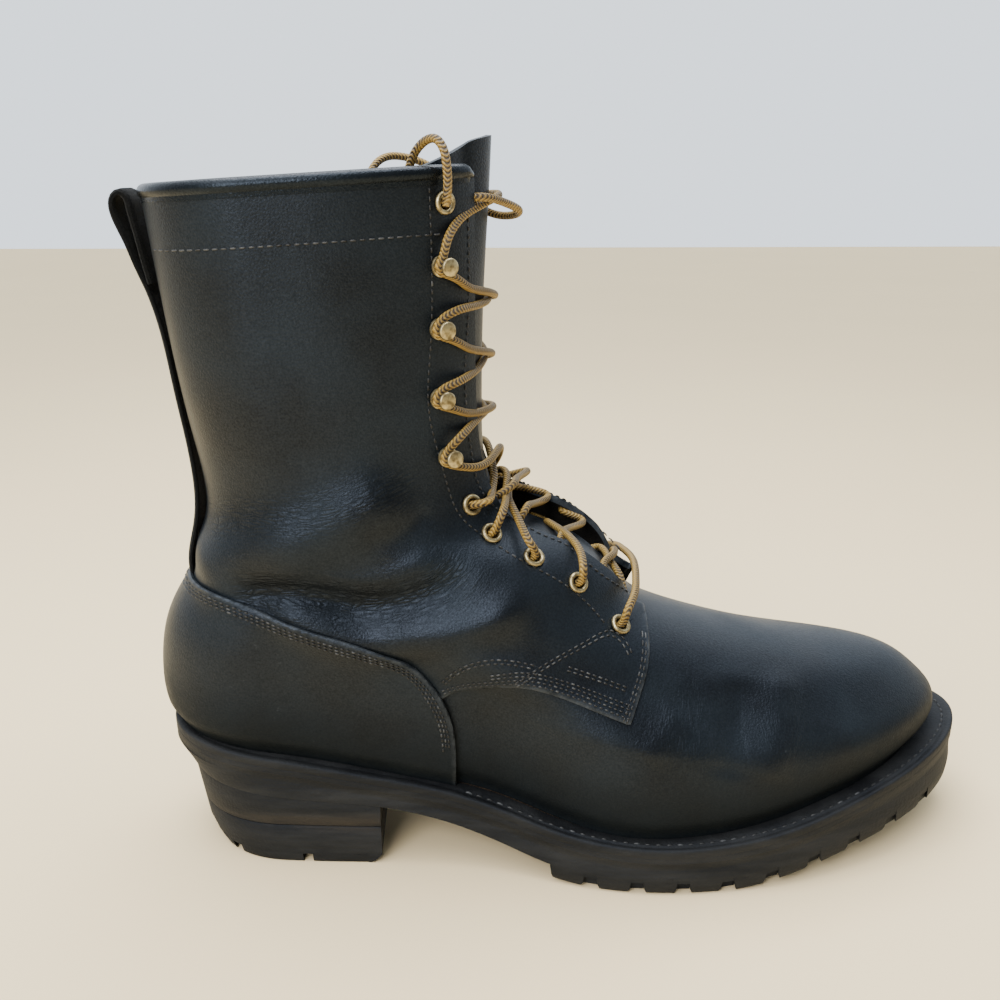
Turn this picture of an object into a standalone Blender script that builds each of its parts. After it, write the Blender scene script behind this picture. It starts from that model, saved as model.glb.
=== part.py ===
"""Black leather logger boot for the right foot, standing empty on its sole.

The boot is laid out in millimetres with the toe along +X, the medial side along +Y and the
floor at Z = 0, and every mesh is written in metres. The upper is one function of the height up
the back seam and of the run from back to front. Wall, counter, tongue, binding and the places
of the lace hardware are all worked out from that function.
"""
import math
from collections import namedtuple

import bmesh
import bpy
import numpy as np
from mathutils import Vector

MM = 0.001

# Driving dimensions of the sole, in millimetres
HEEL_X = -1.6
TOE_X = 349.5
HEEL_ROUND = 46.0
TOE_ROUND = 110.0
END_POWER = 2.2
WELT_THICK = 4.0
MIDSOLE_THICK = 5.0
LUG_DEPTH = 7.0
LUG_START = 160.0
LUG_PITCH = 18.6
LUG_LENGTH = 13.6
LUG_SHARES = (-1.0, -0.56, -0.46, 0.46, 0.56, 1.0)
LAYER_SHARES = (-0.985, 0.0, 0.985)
GAP = 0.3

# Driving dimensions of the upper
WALL_INSIDE = -1.6
WALL_VAMP = 0.0
WALL_QUARTER = 1.6
UPPER_SEAT = 0.45
COUNTER_SEAT = 0.4
COUNTER_THICK = 1.8
COUNTER_TOP = 127.0
COUNTER_REACH = 9
VAMP_TOP = 122.0
CUT_MARGIN = 6.0
BACK_ROUND = 44.0
WELT_TUCK = 3.0
AXIS_FADE_START = 95.0
AXIS_FADE_LENGTH = 60.0
RUN_STATIONS = (0.12, 0.36, 0.62, 0.86)

# Heel
HEEL_BREAST_X = 90.0
LIFT_HEIGHT = 18.0
HEEL_STEP = 7.0
HEEL_RAKE = 6.0
HEEL_TAPER = 0.04
HEEL_NOTCHES = ((14.0, 19.0), (51.0, 56.0))
HEEL_NOTCH_DEPTH = 4.0
HEEL_SHARES = (-0.985, -0.56, -0.44, 0.44, 0.56, 0.985)

# Collar, strap and tongue
BINDING_HALF = 3.3
BINDING_HEIGHT = 5.4
BINDING_COLUMNS = 16
STRAP_WIDTH = 20.0
STRAP_THICK = 2.4
STRAP_STEP = 8.0
STRAP_BOW = 1.2
LOOP_LENGTH = 70.0
TONGUE_THICK = 2.2
TONGUE_ROOT = 1.2
TONGUE_WRAP = 0.82
TONGUE_WINGS = (0.0, 10.0, 26.0)
TONGUE_CAP = (-0.8, -0.4, 0.0, 0.4, 0.8)

# Lace hardware and lace
HARDWARE_SEAT = 0.82
HARDWARE_SIDES = 8
EYELET_OUTER = 4.4
EYELET_HOLE = 2.4
EYELET_THICK = 1.2
HOOK_STEM = 1.3
HOOK_HEAD = 3.4
HOOK_LACE_HEIGHT = 2.95
HOOK_LACE_REACH = 4.9
LACE_RADIUS = 1.7
LACE_SIDES = 5
LACE_CLEAR = 1.0
LACE_STEP = 8.5
LACE_BULGE = 8.6
LACE_BULGE_START = 140.0
LACE_BULGE_LENGTH = 50.0
LACE_END_STEP = 8.2
FACING_SHIFT = 5.0

# A ring of the upper: height and place at the back, place at the front, half widths at the four
# run stations, length of the front rounding, share of the sole's dip, half gap at the throat.
Level = namedtuple("Level", "name back_z back_x front_x front_z heel waist ball toe front_round dip gap")
LEVELS = (
    Level("feather", 56.0, 2.5, 334.0, 43.0, 34.5, 36.5, 57.0, 52.5, 90.0, 1.00, 0.0),
    Level("side", 70.0, -0.8, 338.0, 57.0, 37.2, 39.0, 59.5, 55.0, 92.0, 0.80, 0.0),
    Level("toe_top", 78.0, -1.0, 329.5, 68.0, 37.6, 39.5, 59.0, 55.0, 108.0, 0.55, 0.0),
    Level("toe_crown", 84.0, -0.6, 313.0, 79.0, 37.8, 40.0, 57.0, 56.0, 186.0, 0.32, 0.0),
    Level("ridge_fore", 90.0, 0.2, 283.0, 84.8, 38.0, 40.5, 54.0, 56.0, 188.0, 0.16, 0.0),
    Level("ridge_mid", 99.0, 2.4, 245.0, 92.2, 38.0, 41.0, 49.0, 50.0, 125.0, 0.06, 0.0),
    Level("throat_base", 107.5, 6.2, 206.0, 104.0, 37.5, 41.0, 45.0, 46.0, 70.0, 0.00, 0.0),
    Level("throat_low", 115.5, 11.0, 190.0, 118.0, 37.0, 40.5, 43.5, 43.5, 62.0, 0.00, 14.5),
    Level("throat_mid", 126.5, 16.2, 170.0, 133.5, 36.5, 40.0, 42.0, 42.0, 60.0, 0.00, 17.5),
    Level("throat_bend", 139.0, 20.0, 150.0, 141.5, 36.5, 39.5, 40.5, 40.5, 60.0, 0.00, 18.0),
    Level("ankle", 155.0, 21.2, 137.0, 157.0, 37.5, 39.5, 40.0, 40.0, 60.0, 0.00, 18.3),
    Level("shaft_low", 181.0, 17.5, 131.0, 183.0, 40.0, 41.5, 41.5, 41.5, 60.0, 0.00, 18.5),
    Level("shaft_mid", 229.0, 10.8, 130.0, 234.0, 43.0, 44.5, 44.5, 44.5, 60.0, 0.00, 18.7),
    Level("collar", 271.5, 6.2, 130.0, 279.0, 45.0, 46.5, 46.5, 46.5, 60.0, 0.00, 19.0),
)
EXTRA_HEIGHTS = (63.0, 111.0, 121.0, 133.0, 147.0, 168.0, 205.0)
UPPER_HEIGHTS = sorted([row.back_z for row in LEVELS] + list(EXTRA_HEIGHTS))
UPPER_COLUMNS = 17
FEATHER = LEVELS[0]
COLLAR = LEVELS[-1]
THROAT_BASE = next(row.back_z for row in LEVELS if row.name == "throat_base")

# A station of the sole: half width, curve of the foot's axis, height of the welt's top and of
# the sole's underside without the lugs.
Station = namedtuple("Station", "x half_width axis_y top_z under_z")
SOLE = (
    Station(-1.6, 39.5, 0.0, 56.0, 36.0),
    Station(30.0, 40.5, 0.0, 52.0, 33.5),
    Station(60.0, 42.5, -0.3, 47.5, 31.0),
    Station(90.0, 43.3, -1.2, 42.0, 28.5),
    Station(115.0, 43.8, -2.5, 37.0, 23.0),
    Station(140.0, 47.3, -4.2, 30.5, 15.0),
    Station(160.0, 53.5, -5.0, 25.0, 9.0),
    Station(185.0, 60.5, -5.5, 21.6, 7.0),
    Station(210.0, 63.6, -5.2, 20.8, 7.0),
    Station(235.0, 63.4, -4.0, 22.2, 7.0),
    Station(260.0, 62.0, -2.0, 26.2, 11.0),
    Station(285.0, 59.8, 0.5, 31.7, 16.0),
    Station(310.0, 58.4, 3.0, 37.6, 21.0),
    Station(349.5, 56.8, 7.0, 46.5, 27.5),
)
MIDDLE_LINES = list(np.linspace(60.0, 260.0, 13))

# Side-view lines on the upper, as (x, z): the counter's edge from the back seam to the welt, and
# the lower edge of the quarter from under the counter to the tip of its tab and up to the throat.
COUNTER_EDGE = ((-20, 119), (8, 119), (20, 119.5), (32, 118.5), (45, 115), (62, 110), (78, 105), (94, 99.5),
                (105, 94), (112, 86), (117.5, 76), (121, 65), (122, 54), (121.5, 30))
QUARTER_EDGE = ((114, 74), (118, 78.5), (127, 83), (137, 86), (147, 87), (157, 85), (168, 81), (179, 76.5),
                (190.5, 72), (194, 79), (198, 88), (200.3, 96), (201, 102), (201, 125))

# Back strap, in side view: heights of the leg inside the pull loop, the fold and the outer leg as
# (x, z), and heights down the back seam to the counter with the strap's lift over the seam's padding
LOOP_LEG_HEIGHTS = (240.0, 251.0, 261.0)
LOOP_FOLD = ((1.3, 269.6), (-1.4, 274.0), (-4.6, 273.8), (-6.2, 269.8), (-5.6, 264.0),
             (-3.2, 257.0), (1.6, 243.0), (5.6, 230.5))
SEAM_ROUTE = ((216.0, 0.6), (198.0, 0.6), (180.0, 0.9), (165.0, 1.8), (152.0, 2.5), (141.0, 2.9), (131.0, 2.8),
              (122.5, 1.6))

# Lace stations up the throat, in side view, lowest first
LaceStation = namedtuple("LaceStation", "kind x z")
LACE_STATIONS = (
    LaceStation("eyelet", 188.0, 104.3),
    LaceStation("eyelet", 170.5, 122.6),
    LaceStation("eyelet", 153.1, 132.9),
    LaceStation("eyelet", 136.3, 141.7),
    LaceStation("eyelet", 128.2, 154.0),
    LaceStation("hook", 118.8, 174.9),
    LaceStation("hook", 116.1, 198.5),
    LaceStation("hook", 116.3, 225.0),
    LaceStation("hook", 117.3, 247.9),
    LaceStation("eyelet", 118.9, 270.4),
)

# Turned profiles of the lace hardware, as (radius, height above its seat)
EYELET_PROFILE = ((EYELET_HOLE, 0.0), (EYELET_HOLE, 0.75 * EYELET_THICK),
                  (0.5 * (EYELET_HOLE + EYELET_OUTER), EYELET_THICK), (EYELET_OUTER, 0.0))
HOOK_PROFILE = ((0.0, 0.0), (3.7, 0.0), (3.5, 0.8), (HOOK_STEM, 0.9), (HOOK_STEM, 5.0), (HOOK_HEAD, 5.2),
                (HOOK_HEAD, 6.2), (2.2, 7.0), (0.0, 7.2))

# A row of the tongue: height up the back seam, clearance inside the wall, bulge between the
# facings, rise above that height and droop of its wings
TongueLevel = namedtuple("TongueLevel", "height clear bulge rise droop")
TONGUE_LEVELS = (
    TongueLevel(110.0, 0.8, 0.5, 0.0, 0.0),
    TongueLevel(115.5, 0.8, 0.5, 0.0, 0.0),
    TongueLevel(121.0, 0.9, 0.6, 0.0, 0.0),
    TongueLevel(126.5, 0.9, 0.8, 0.0, 0.0),
    TongueLevel(133.0, 1.0, 1.0, 0.0, 0.0),
    TongueLevel(139.0, 1.0, 1.2, 0.0, 0.0),
    TongueLevel(147.0, 1.0, 1.7, 0.0, 0.0),
    TongueLevel(155.0, 1.0, 2.8, 0.0, 0.0),
    TongueLevel(168.0, 1.0, 4.8, 0.0, 0.0),
    TongueLevel(181.0, 0.8, 6.5, 0.0, 0.0),
    TongueLevel(205.0, 0.8, 8.2, 0.0, 0.0),
    TongueLevel(235.0, 1.2, 9.2, 0.0, 0.0),
    TongueLevel(267.0, 3.0, 11.2, 0.0, 0.0),
    TongueLevel(271.5, 3.0, 12.2, 15.7, 13.0),
)

# Free lace ends, each from the face of its top eyelet over the collar and into the shaft
LACE_END_ROUTES = {
    "lateral": ((120.9, -36.4, 269.3), (121.5, -36.8, 276.0), (121.3, -36.4, 283.0), (120.0, -34.8, 289.2),
                (117.2, -31.8, 292.4), (113.3, -28.5, 291.5), (109.3, -26.0, 287.0), (107.0, -24.0, 281.0),
                (105.8, -22.5, 273.5), (105.0, -21.5, 264.0)),
    "medial": ((120.9, 36.4, 269.3), (120.7, 38.4, 275.0), (118.4, 40.5, 279.5), (114.2, 42.6, 283.0),
               (109.0, 44.0, 285.5), (103.0, 44.0, 287.2), (97.0, 42.0, 287.6), (91.5, 37.5, 285.0),
               (87.5, 33.5, 278.0), (85.5, 31.0, 270.0), (85.0, 30.0, 261.0)),
}

# Colour, roughness and metallic value of each material
MATERIALS = {
    "black_leather": ((0.020, 0.021, 0.023), 0.48, 0.0),
    "rough_leather": ((0.012, 0.012, 0.013), 0.90, 0.0),
    "footbed_leather": ((0.060, 0.045, 0.033), 0.75, 0.0),
    "black_rubber": ((0.022, 0.022, 0.023), 0.72, 0.0),
    "aged_brass": ((0.420, 0.310, 0.140), 0.38, 1.0),
    "gold_lace": ((0.420, 0.230, 0.060), 0.80, 0.0),
}


def spline(knots, values, at):
    """Natural cubic spline through one or more columns of values, held flat beyond its ends."""
    knots = np.asarray(knots, float)
    values = np.asarray(values, float)
    count = len(knots)
    step = np.diff(knots)
    matrix = np.eye(count)
    right = np.zeros_like(values)
    for i in range(1, count - 1):
        matrix[i, i - 1:i + 2] = step[i - 1], 2 * (step[i - 1] + step[i]), step[i]
        right[i] = 6 * ((values[i + 1] - values[i]) / step[i] - (values[i] - values[i - 1]) / step[i - 1])
    bend = np.linalg.solve(matrix, right)
    at = np.clip(np.asarray(at, float), knots[0], knots[-1])
    i = np.clip(np.searchsorted(knots, at) - 1, 0, count - 2)
    widen = (...,) + (None,) * (values.ndim - 1)
    width = step[i][widen]
    low = ((knots[i + 1] - at) / step[i])[widen]
    high = ((at - knots[i]) / step[i])[widen]
    curve = ((low ** 3 - low) * bend[i] + (high ** 3 - high) * bend[i + 1]) * width ** 2 / 6
    return low * values[i] + high * values[i + 1] + curve


def smooth_route(points, spacing):
    """Points at an even spacing along the smooth curve through a route."""
    points = np.asarray(points, float)
    steps = np.linalg.norm(np.diff(points, axis=0), axis=1)
    run = np.concatenate(([0.0], np.cumsum(steps)))
    count = max(2, int(round(run[-1] / spacing)) + 1)
    return spline(run, points, np.linspace(0.0, run[-1], count))


def ease(u):
    """Smooth step from 0 to 1 with no bend at its ends."""
    u = np.clip(u, 0.0, 1.0)
    return u ** 3 * (u * (6 * u - 15) + 10)


def round_end(distance, length, power=2.0, keep=0.0):
    """Share of the full width at a distance from a rounded end, which keeps a share open."""
    inside = np.clip(1.0 - distance / length, 0.0, 1.0)
    return np.sqrt(np.clip(1.0 - (1.0 - keep) * inside ** power, 0.0, 1.0))


def sole_column(column, x):
    """One column of the sole's table at x."""
    return spline([row.x for row in SOLE], [getattr(row, column) for row in SOLE], x)


def sole_half(x):
    """Half width of the sole's outline at x, from its axis."""
    x = np.asarray(x, float)
    ends = round_end(x - HEEL_X, HEEL_ROUND, END_POWER) * round_end(TOE_X - x, TOE_ROUND, END_POWER)
    return sole_column("half_width", x) * ends


def levels_at(height):
    """All columns of the ring table at a height up the back seam."""
    rows = [row[1:] for row in LEVELS]
    return np.moveaxis(spline([row.back_z for row in LEVELS], rows, height), -1, 0)


def upper_point(height, run, side, closed=False):
    """Point of the upper's middle surface.

    height is measured up the back seam, run goes from 0 at the back to 1 at the front, and side
    is -1 for lateral and 1 for medial. A closed surface has no throat gap.
    """
    height, run = np.broadcast_arrays(np.asarray(height, float), np.asarray(run, float))
    back_z, back_x, front_x, front_z, heel, waist, ball, toe, front_round, dip, gap = levels_at(height)
    length = front_x - back_x
    x = back_x + length * run
    chord = FEATHER.back_z + (FEATHER.front_z - FEATHER.back_z) * (x - FEATHER.back_x) / (
        FEATHER.front_x - FEATHER.back_x)
    z = back_z + (front_z - back_z) * run + dip * (sole_column("top_z", x) - chord)
    half = heel
    widths = (heel, waist, ball, toe)
    for k in range(len(RUN_STATIONS) - 1):
        share = (run - RUN_STATIONS[k]) / (RUN_STATIONS[k + 1] - RUN_STATIONS[k])
        half = half + (widths[k + 1] - widths[k]) * ease(share)
    is_open = (height > THROAT_BASE) & (not closed)
    keep = np.where(is_open, np.clip(gap, 0.0, None) / half, 0.0) ** 2
    half = half * round_end(length * run, BACK_ROUND, END_POWER)
    half = half * round_end(length * (1.0 - run), front_round, 2.0, keep)
    axis = sole_column("axis_y", x) * (1.0 - ease((height - AXIS_FADE_START) / AXIS_FADE_LENGTH))
    return np.stack([x, axis + side * half, z], axis=-1)


def upper_normal(height, run, side, closed=False):
    """Outward normal of the upper's middle surface."""
    height, run = np.broadcast_arrays(np.asarray(height, float), np.asarray(run, float))
    lowest, highest = FEATHER.back_z, COLLAR.back_z
    up = (upper_point(np.minimum(height + 0.1, highest), run, side, closed)
          - upper_point(np.maximum(height - 0.1, lowest), run, side, closed))
    along = (upper_point(height, np.minimum(run + 0.001, 1.0), side, closed)
             - upper_point(height, np.maximum(run - 0.001, 0.0), side, closed))
    normal = np.cross(along, up) * -side
    return normal / np.linalg.norm(normal, axis=-1, keepdims=True)


def upper_lifted(height, run, side, lift, closed=False):
    """Point at a distance outside the upper's middle surface."""
    return upper_point(height, run, side, closed) + lift * upper_normal(height, run, side, closed)


def find_on_upper(x, z):
    """Height and run of the place on the upper that lies at x and z in side view."""
    low, high = FEATHER.back_z, COLLAR.back_z
    for _ in range(50):
        height = 0.5 * (low + high)
        _, back_x, front_x = levels_at(height)[:3]
        run = min(max((x - back_x) / (front_x - back_x), 0.0), 1.0)
        if upper_point(height, run, 1)[2] < z:
            low = height
        else:
            high = height
    return height, run


def even_runs(count):
    """Runs from back to front, close together where the ring is round."""
    return 0.5 * (1.0 - np.cos(math.pi * np.linspace(0.0, 1.0, count)))


def ring(height, count, lift, closed=False):
    """Ring of points from the lateral front round the back to the medial front."""
    is_open = height > THROAT_BASE and not closed
    runs = even_runs(count)
    lateral = upper_lifted(height, runs, -1, lift, closed)[::-1]
    medial = upper_lifted(height, runs, 1, lift, closed)[1:]
    points = np.concatenate([lateral, medial])
    if not is_open:
        points[0] = points[-1] = 0.5 * (points[0] + points[-1])
    return points


def make_material(name):
    """Principled material with the part's colour, roughness and metallic value."""
    material = bpy.data.materials.get(name)
    if material:
        return material
    colour, roughness, metallic = MATERIALS[name]
    material = bpy.data.materials.new(name)
    material.use_nodes = True
    shader = material.node_tree.nodes["Principled BSDF"]
    shader.inputs["Base Color"].default_value = (*colour, 1.0)
    shader.inputs["Roughness"].default_value = roughness
    shader.inputs["Metallic"].default_value = metallic
    return material


def place(obj, material):
    """Link an object under the boot's empty and give it its material."""
    bpy.context.scene.collection.objects.link(obj)
    obj.parent = bpy.data.objects["boot"]
    obj.data.materials.append(make_material(material))
    return obj


def make_solid(name, points, faces, material, sharp_degrees=35.0):
    """Closed mesh object from points in millimetres, with its faces turned outward."""
    mesh = bpy.data.meshes.new(name)
    mesh.from_pydata([tuple(float(c) * MM for c in p) for p in points], [], faces)
    work = bmesh.new()
    work.from_mesh(mesh)
    bmesh.ops.remove_doubles(work, verts=work.verts, dist=0.002 * MM)
    bmesh.ops.dissolve_degenerate(work, edges=work.edges, dist=0.001 * MM)
    bmesh.ops.recalc_face_normals(work, faces=work.faces)
    if work.calc_volume(signed=True) < 0.0:
        bmesh.ops.reverse_faces(work, faces=work.faces)
    work.to_mesh(mesh)
    work.free()
    mesh.shade_smooth()
    mesh.set_sharp_from_angle(angle=math.radians(sharp_degrees))
    return place(bpy.data.objects.new(name, mesh), material)


def as_cutter(obj):
    """Keep an object as a hidden guide for a Boolean."""
    obj.hide_render = True
    obj.display_type = "WIRE"
    return obj


def boolean(obj, cutter, operation):
    """Boolean modifier that stays on the object."""
    modifier = obj.modifiers.new(operation.lower(), "BOOLEAN")
    modifier.operation = operation
    modifier.solver = "EXACT"
    modifier.object = as_cutter(cutter)


def shell(name, rings_out, rings_in, closed_rows, material):
    """Wall between two stacks of rings; the first closed_rows rings are closed at the front."""
    rows = len(rings_out)
    columns = len(rings_out[0])
    points = [p for stack in (rings_out, rings_in) for one in stack for p in one]

    def at(layer, i, j):
        return (layer * rows + i) * columns + (0 if i < closed_rows and j == columns - 1 else j)

    faces = []
    for i in range(rows - 1):
        for j in range(columns - 1):
            faces.append((at(0, i, j), at(0, i, j + 1), at(0, i + 1, j + 1), at(0, i + 1, j)))
            faces.append((at(1, i, j), at(1, i + 1, j), at(1, i + 1, j + 1), at(1, i, j + 1)))
    for i in (0, rows - 1):
        for j in range(columns - 1):
            faces.append((at(0, i, j), at(0, i, j + 1), at(1, i, j + 1), at(1, i, j)))
    for i in range(max(closed_rows - 1, 0), rows - 1):
        for j in (0, columns - 1):
            faces.append((at(0, i, j), at(0, i + 1, j), at(1, i + 1, j), at(1, i, j)))
    return make_solid(name, points, faces, material, 50.0)


def side_prism(name, outline):
    """Prism with a side-view outline that reaches past both sides of the boot."""
    reach = 120.0
    count = len(outline)
    points = [(x, y, z) for y in (-reach, reach) for x, z in outline]
    faces = [tuple(range(count)), tuple(range(count, 2 * count))]
    faces += [(i, (i + 1) % count, count + (i + 1) % count, count + i) for i in range(count)]
    prism = make_solid(name, points, faces, "black_leather")
    prism.data.shade_flat()
    return prism


def sweep(name, sections, material, sharp_degrees=35.0):
    """Closed solid through a row of sections with the same number of points."""
    count = len(sections[0])
    points = [p for section in sections for p in section]
    faces = [tuple(range(count)), tuple(range(len(points) - count, len(points)))]
    for i in range(len(sections) - 1):
        for j in range(count):
            k = (j + 1) % count
            faces.append((i * count + j, i * count + k, (i + 1) * count + k, (i + 1) * count + j))
    return make_solid(name, points, faces, material, sharp_degrees)


def plate(name, x_lines, y_lines, top, floors, kind, material, shape=None):
    """Closed plate on a grid, with a floor for each cell and holes where a cell has none.

    y_lines gives the y of each grid line at x, top and floors give heights at x, and kind gives
    the number of a cell's floor (0 shallow, 1 deep) or None. shape moves the finished points.
    """
    rows = len(x_lines)
    columns = len(y_lines(x_lines[0]))
    surfaces = (top, *floors)
    points = [(x, y, float(surface(x))) for surface in surfaces for x in x_lines for y in y_lines(x)]
    if shape:
        points = [shape(*p) for p in points]

    def at(surface, i, j):
        return (surface * rows + i) * columns + j

    def cell(i, j):
        return kind(i, j) if 0 <= i < rows - 1 and 0 <= j < columns - 1 else None

    def wall(faces, here, other, start, end):
        high = 0 if other is None else other + 1
        for surface in range(high, here + 1):
            below = surface + 1
            faces.append((at(surface, *start), at(surface, *end), at(below, *end), at(below, *start)))

    faces = []
    for i in range(rows - 1):
        for j in range(columns - 1):
            here = cell(i, j)
            if here is None:
                continue
            corners = ((i, j), (i + 1, j), (i + 1, j + 1), (i, j + 1))
            faces.append(tuple(at(0, *c) for c in corners))
            faces.append(tuple(at(here + 1, *c) for c in corners[::-1]))
            sides = ((cell(i, j - 1), 0, 1), (cell(i + 1, j), 1, 2),
                     (cell(i, j + 1), 2, 3), (cell(i - 1, j), 3, 0))
            for other, a, b in sides:
                if other is None or other < here:
                    wall(faces, here, other, corners[a], corners[b])
    return make_solid(name, points, faces, material, 30.0)


def end_lines(start, end, count):
    """Grid lines close together towards the start, for a round end."""
    t = np.linspace(0.0, 1.0, count)
    return list(start + (end - start) * (1.0 - np.cos(0.5 * math.pi * t)))


def outline_lines(shares):
    """Grid lines of the sole at shares of its half width, lateral edge to medial edge."""
    def lines(x):
        half = float(sole_half(x))
        axis = float(sole_column("axis_y", x))
        return [axis + share * half for share in shares]
    return lines


def feather_half(x, tuck):
    """Half width of the upper's lower edge at x, drawn in by a tuck."""
    first = FEATHER.back_x + tuck
    last = FEATHER.front_x - tuck
    inside = np.clip(FEATHER.back_x + (x - first) / (last - first) * (FEATHER.front_x - FEATHER.back_x),
                     FEATHER.back_x, FEATHER.front_x)
    run = (inside - FEATHER.back_x) / (FEATHER.front_x - FEATHER.back_x)
    point = upper_point(FEATHER.back_z, run, 1)
    half = float(point[1] - sole_column("axis_y", inside))
    return max(half * (1.0 - tuck / FEATHER.toe), 0.0)


def welt_top(x):
    return float(sole_column("top_z", x))


def welt_under(x):
    return welt_top(x) - WELT_THICK


def midsole_top(x):
    return welt_under(x) - GAP


def midsole_under(x):
    return midsole_top(x) - MIDSOLE_THICK


def outsole_top(x):
    return midsole_under(x) - GAP


def outsole_under(x):
    return float(sole_column("under_z", x))


def lug_under(x):
    return max(outsole_under(x) - LUG_DEPTH, 0.0)


def layer_lines(first, last, heel_count, toe_count):
    """X lines of a sole layer: shared ones along the waist and ball, closer ones at its round ends."""
    heel = end_lines(first, MIDDLE_LINES[0], heel_count)
    toe = end_lines(last, MIDDLE_LINES[-1], toe_count)[::-1]
    return heel + MIDDLE_LINES[1:-1] + toe


def trim_to_welt(points, above):
    """Set a lowest ring at a height above the welt's top."""
    points[:, 2] = sole_column("top_z", points[:, 0]) + above


def heel_lines():
    """X lines of the layers over the heel, from its back to its breast."""
    return end_lines(HEEL_X, 40.0, 7) + [56.0, 73.0, HEEL_BREAST_X]


def build_upper():
    """Hollow wall of vamp, quarters and shaft; the vamp is cut back to leave the quarter's step."""
    heights = UPPER_HEIGHTS
    closed_rows = sum(1 for h in heights if h <= THROAT_BASE)
    outer = [ring(h, UPPER_COLUMNS, WALL_QUARTER) for h in heights]
    inner = [ring(h, UPPER_COLUMNS, WALL_INSIDE) for h in heights]
    for stack in (outer, inner):
        trim_to_welt(stack[0], UPPER_SEAT)
    upper = shell("upper", outer, inner, closed_rows, "black_leather")

    cut_heights = [h for h in heights if h < VAMP_TOP]
    cut_inner = [ring(h, UPPER_COLUMNS, WALL_VAMP, closed=True) for h in cut_heights]
    cut_outer = [ring(h, UPPER_COLUMNS, WALL_QUARTER + CUT_MARGIN, closed=True) for h in cut_heights]
    for stack in (cut_inner, cut_outer):
        trim_to_welt(stack[0], -CUT_MARGIN)
    vamp_relief = shell("vamp_relief", cut_outer, cut_inner, len(cut_heights), "black_leather")
    vamp_outline = QUARTER_EDGE + ((380, 125), (380, -20), (QUARTER_EDGE[0][0], -20))
    boolean(vamp_relief, side_prism("vamp_region", vamp_outline), "INTERSECT")
    boolean(upper, vamp_relief, "DIFFERENCE")


def build_counter():
    """Heel counter, cut from a layer just outside the quarter."""
    under = WALL_QUARTER + COUNTER_SEAT
    heights = [h for h in UPPER_HEIGHTS if h < COUNTER_TOP]
    back = UPPER_COLUMNS - 1
    columns = slice(back - COUNTER_REACH, back + COUNTER_REACH + 1)
    outer = [ring(h, UPPER_COLUMNS, under + COUNTER_THICK)[columns] for h in heights]
    inner = [ring(h, UPPER_COLUMNS, under)[columns] for h in heights]
    for stack in (outer, inner):
        trim_to_welt(stack[0], UPPER_SEAT)
    counter = shell("counter", outer, inner, 0, "black_leather")
    outline = COUNTER_EDGE + ((COUNTER_EDGE[-1][0], -20), (-20, -20))
    boolean(counter, side_prism("counter_region", outline), "INTERSECT")


def build_binding():
    """Rolled leather edge that sits on the collar's rim."""
    rim = ring(COLLAR.back_z, BINDING_COLUMNS, 0.0)
    lift = ring(COLLAR.back_z, BINDING_COLUMNS, 1.0)
    half = BINDING_HALF
    top = BINDING_HEIGHT
    profile = ((-half, GAP), (-half, 0.62 * top), (-0.55 * half, top), (0.55 * half, top),
               (half, 0.62 * top), (half, GAP))
    sections = []
    for base, lifted in zip(rim, lift):
        outward = (lifted - base) * (1.0, 1.0, 0.0)
        outward /= np.linalg.norm(outward)
        sections.append([base + outward * across + np.array((0.0, 0.0, up)) for across, up in profile])
    sweep("collar_binding", sections, "black_leather", 60.0)


def build_strap():
    """Strap up the back seam that folds over into the pull loop below the collar."""
    seat = WALL_QUARTER + GAP + 0.5 * STRAP_THICK

    def on_back(height, extra=0.0):
        point = upper_lifted(height, 0.0, -1, seat + extra)
        return point[0], point[2]

    inner_leg = [on_back(h) for h in LOOP_LEG_HEIGHTS]
    back_seam = [on_back(h, lift) for h, lift in SEAM_ROUTE]
    route = [*inner_leg, *LOOP_FOLD, *back_seam]
    path = smooth_route([(x, 0.0, z) for x, z in route], STRAP_STEP)
    across = np.array((0.0, 0.5 * STRAP_WIDTH, 0.0))
    sections = []
    for i, point in enumerate(path):
        along = path[min(i + 1, len(path) - 1)] - path[max(i - 1, 0)]
        normal = np.cross(along, (0.0, 1.0, 0.0))
        normal *= 0.5 * STRAP_THICK / np.linalg.norm(normal)
        bow = np.array((STRAP_BOW if i * STRAP_STEP > LOOP_LENGTH else 0.0, 0.0, 0.0))
        sections.append([point - across + normal + bow, point + normal, point + across + normal + bow,
                         point + across - normal + bow, point - normal, point - across - normal + bow])
    sweep("back_strap", sections, "rough_leather")


def tongue_row(height, clear, bulge, raise_z, wing_drop):
    """Points across the tongue's front face at one level, lateral wing to medial wing."""
    lift = WALL_INSIDE - clear
    _, back_x, front_x = levels_at(height)[:3]
    runs = [1.0 - TONGUE_WRAP * wing / (front_x - back_x) for wing in TONGUE_WINGS]
    lateral = upper_lifted(height, runs, -1, lift)
    medial = upper_lifted(height, runs, 1, lift)
    edge_left, edge_right = lateral[0], medial[0]
    middle = 0.5 * (edge_left + edge_right)
    half = 0.5 * (edge_right - edge_left)
    ahead = upper_normal(height, 1.0, -1) + upper_normal(height, 1.0, 1)
    ahead /= np.linalg.norm(ahead)
    cap = [middle + half * share + ahead * 0.5 * bulge * (1.0 + math.cos(math.pi * share))
           for share in TONGUE_CAP]
    row = np.array([*lateral[::-1], *cap, *medial])
    fall = np.linspace(-1.0, 1.0, len(row)) ** 4
    row[:, 2] += raise_z - wing_drop * fall
    return row


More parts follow.
